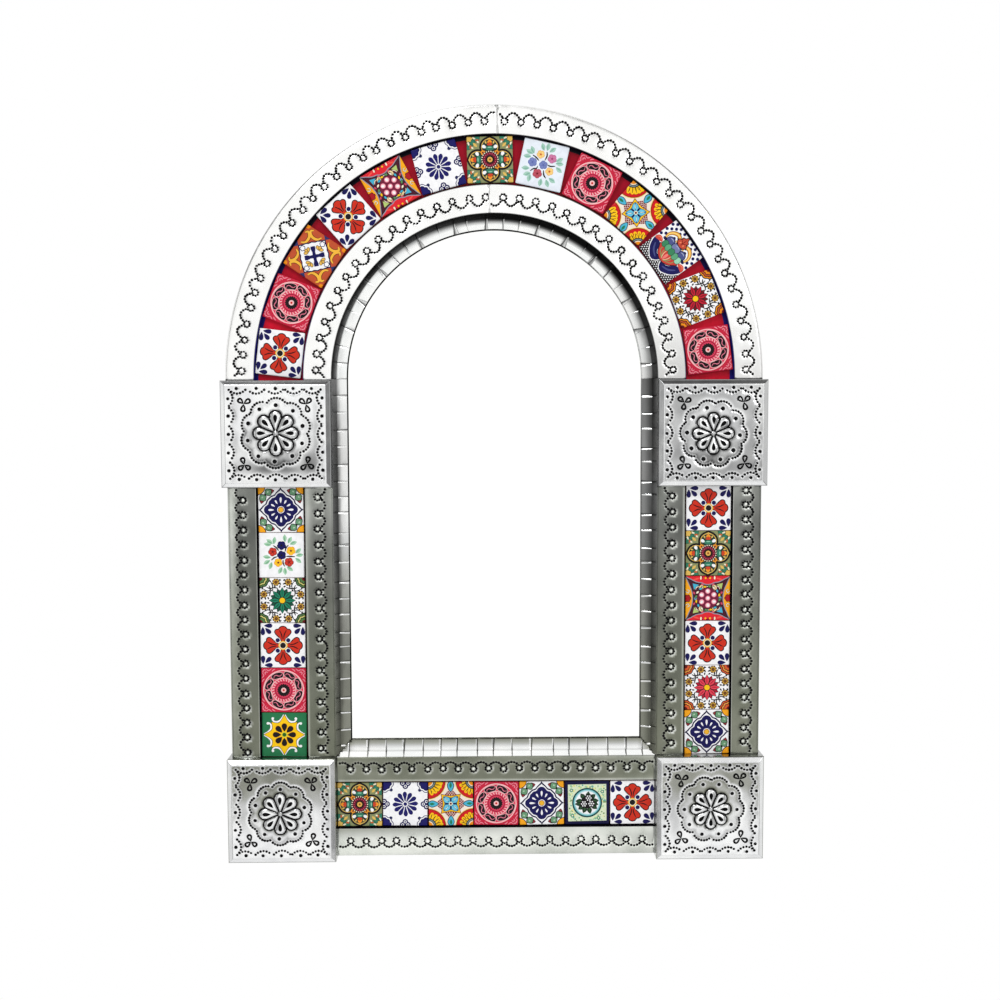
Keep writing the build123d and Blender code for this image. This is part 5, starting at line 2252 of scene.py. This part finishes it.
# Painted light and shade of the rail's bands, as display values, column by column across each band.
rail_tones = (
    spread_tones((0.0, 0.15, 0.7, 1.0), (
        (200, 210, 214, 236), (205, 214, 220, 238), (192, 224, 228, 226), (228, 222, 180, 160),
    ), rail_span, rail_outer_runs),
    spread_tones((0.0, 0.15, 0.4, 0.6, 1.0), (
        (165, 124, 132, 123, 133), (132, 120, 118, 122, 134), (150, 136, 134, 128, 130),
        (186, 172, 148, 118, 128),
    ), rail_span, rail_inner_runs),
)

# For the outer and the inner band of each half of the arch: the number of rings, the gaps
# at the foot and at the seam, and the display value of the painted shade at the foot.
arch_bands = {
    1: ((24, (9.0, 7.8), 205), (17, (8.9, 15.0), 190)),
    -1: ((25, (8.7, 13.8), 244), (17, (8.9, 3.2), 246)),
}
leg_rings = (18, 17)
leg_gaps = {-1: ((6.3, 13.8), (10.3, 11.7)), 1: ((14.0, 5.0), (13.0, 12.0))}
leg_rise = 8.2
leg_halo = 0.85
rail_rings = (20, 20)
rail_gaps = ((15.0, 15.0), (16.0, 15.4))
rail_rise = 7.2
rail_halo = 0.5
leg_panels = 23
arch_panels = 29
bottom_panels = 18
for side, word in ((1, "right"), (-1, "left")):
    outer_arch_band(side, word, *arch_bands[side][0])
    inner_arch_band(side, word, *arch_bands[side][1])
    hat_channel(
        "punched_leg_" + word, "leg_channel_" + word, leg_span, leg_place(side), inner_band,
        leg_rings, leg_gaps[side], leg_tones[side], leg_rise, leg_halo)
    Block("upper_block_" + word, side, upper_notch).finished()
    Block("lower_block_" + word, side, lower_notch).finished()
    lip_strip(
        "crimped_leg_" + word, "crimped_lip_leg_" + word, rail_top - lip_flange * bottom_stretch,
        arch_z, leg_panels, lip_on_leg(side), 1.0, leg_lip_tones[side], 11 + side, leg_flash,
        [mitre(side, -1)])
hat_channel(
    "punched_rail", "bottom_rail_channel", rail_span, rail_place, rail_upper_band,
    rail_rings, rail_gaps, rail_tones, rail_rise, rail_halo)
lip_strip(
    "crimped_arch", "crimped_lip_arch", 0, 180, arch_panels, lip_on_arch, 1.0, arch_lip_tone,
    31, even_flash)
lip_strip(
    "crimped_bottom", "crimped_lip_bottom", -inner_radius - lip_flange, inner_radius + lip_flange,
    bottom_panels, lip_on_rail, bottom_stretch, bottom_lip_tone, 47, even_flash,
    [mitre(1, 1), mitre(-1, 1)])

for row, names in rows.items():
    for index, design in enumerate(names, start=1):
        lay_tile(f"{row}_{index:02d}", design, index + 13 * len(row))

kept = {
    "arch_tile_tray": crimson_enamel,
    "mirror_glass": silvered_glass,
    "backing_board": hardboard,
    "retaining_tabs": back_tin,
    "hanger_strap": back_tin,
    "hang_ring": wire_steel,
    "solder_beads": solder_metal,
}
for node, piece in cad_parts.items():
    for start, finish in kept.items():
        if node.startswith(start):
            for slot in piece.material_slots:
                slot.material = finish


# ---- Studio, in metres ----------------------------------------------------------------------------
mirror_middle = (0, 0, -0.3)
floor_radius = 1.1
floor_ahead = 0.35
floor_z = -1.32
camera_place = (-0.01404, -1.31092, -0.22966)
focal_length = 42.617
camera_yaw = -0.84995
camera_pitch = -3.87783
camera_roll = -0.17753


def studio_world():
    """White studio: even light on everything, with grey zones that only metal reflects."""
    world = bpy.data.worlds.new("studio")
    bpy.context.scene.world = world
    world.use_nodes = True
    world.node_tree.nodes.clear()
    nodes = Nodes(world.node_tree)

    def zones(value, stops):
        """Greys that blend into each other along a value."""
        ramp = nodes.add("ShaderNodeValToRGB", {"Fac": value})
        ramp.color_ramp.interpolation = "EASE"
        elements = ramp.color_ramp.elements
        while len(elements) < len(stops):
            elements.new(0.5)
        for element, (place, level) in zip(elements, stops):
            element.position = place
            element.color = (level, level, level * 0.99, 1)
        return ramp.outputs["Color"]

    def background(colour, strength):
        """Even light."""
        return nodes.add("ShaderNodeBackground", {"Color": colour, "Strength": strength}).outputs[0]

    def either(choice, no, yes):
        """The second light where the choice holds, and otherwise the first."""
        return nodes.add("ShaderNodeMixShader", {0: choice, 1: no, 2: yes}).outputs[0]

    generated = nodes.add("ShaderNodeTexCoord").outputs["Generated"]
    way = nodes.add("ShaderNodeSeparateXYZ", {"Vector": generated}).outputs
    height = nodes.maths("ADD", nodes.maths("MULTIPLY", way["Z"], 0.5), 0.5)
    tall = zones(height, [
        (0.0, 0.95), (0.14, 1.0), (0.18, 0.25), (0.23, 0.2), (0.28, 1.0), (0.665, 1.0), (0.7, 0.25),
        (0.735, 0.25), (0.77, 1.0), (0.82, 1.0), (0.86, 0.2), (0.92, 0.2), (0.95, 1.0), (1.0, 1.0)])
    wide = zones(nodes.maths("ABSOLUTE", way["X"]), [
        (0.0, 1.0), (0.4, 1.0), (0.5, 0.35), (0.7, 0.25), (0.88, 0.9), (1.0, 1.0)])
    white = (1, 1, 1, 1)
    mirrored = background(nodes.mix(1.0, tall, wide, "MULTIPLY"), 1.04)
    rays = nodes.add("ShaderNodeLightPath").outputs
    lit = either(rays["Is Glossy Ray"], background(white, 0.8), mirrored)
    shown = either(rays["Is Camera Ray"], lit, background(white, 1.0))
    nodes.add("ShaderNodeOutputWorld", {"Surface": shown})


def soft_lamp(name, place, size, power):
    """Square soft box that faces the mirror."""
    light = bpy.data.lights.new(name, "AREA")
    light.size = size
    light.energy = power
    lamp = bpy.data.objects.new(name, light)
    lamp.location = place
    lamp.rotation_euler = (Vector(mirror_middle) - Vector(place)).to_track_quat("-Z", "Y").to_euler()
    bpy.context.collection.objects.link(lamp)


def studio_floor():
    """Pale floor below the hung mirror."""
    mesh = bpy.data.meshes.new("floor")
    rim = [(x, y, floor_z) for x, y in disc(0, -floor_ahead, floor_radius, 72)]
    mesh.from_pydata(rim, [], [tuple(range(72))])
    finish = Finish("pale_floor")
    tint = finish.noise(3, 2)
    finish.set(Base_Color=finish.mix(tint, srgb(246, 246, 244), srgb(250, 250, 249)), Roughness=0.8)
    mesh.materials.append(finish.material)
    floor = bpy.data.objects.new("floor", mesh)
    bpy.context.collection.objects.link(floor)


def photo_camera():
    """Camera at the photograph's place and angle."""
    camera = bpy.data.cameras.new("camera")
    camera.sensor_width = 36.0
    camera.lens = focal_length
    viewer = bpy.data.objects.new("camera", camera)
    turn = Matrix.Rotation(radians(camera_yaw), 4, "Z")
    tilt = Matrix.Rotation(radians(90 + camera_pitch), 4, "X")
    lean = Matrix.Rotation(radians(camera_roll), 4, "Z")
    viewer.matrix_world = Matrix.Translation(camera_place) @ turn @ tilt @ lean
    bpy.context.collection.objects.link(viewer)
    bpy.context.scene.camera = viewer


studio_world()
soft_lamp("key", (-0.9, -2.2, 1.9), 0.9, 26)
soft_lamp("fill", (1.6, -2.4, 0.6), 0.8, 7)
studio_floor()
photo_camera()
bpy.context.scene.view_settings.view_transform = "Standard"
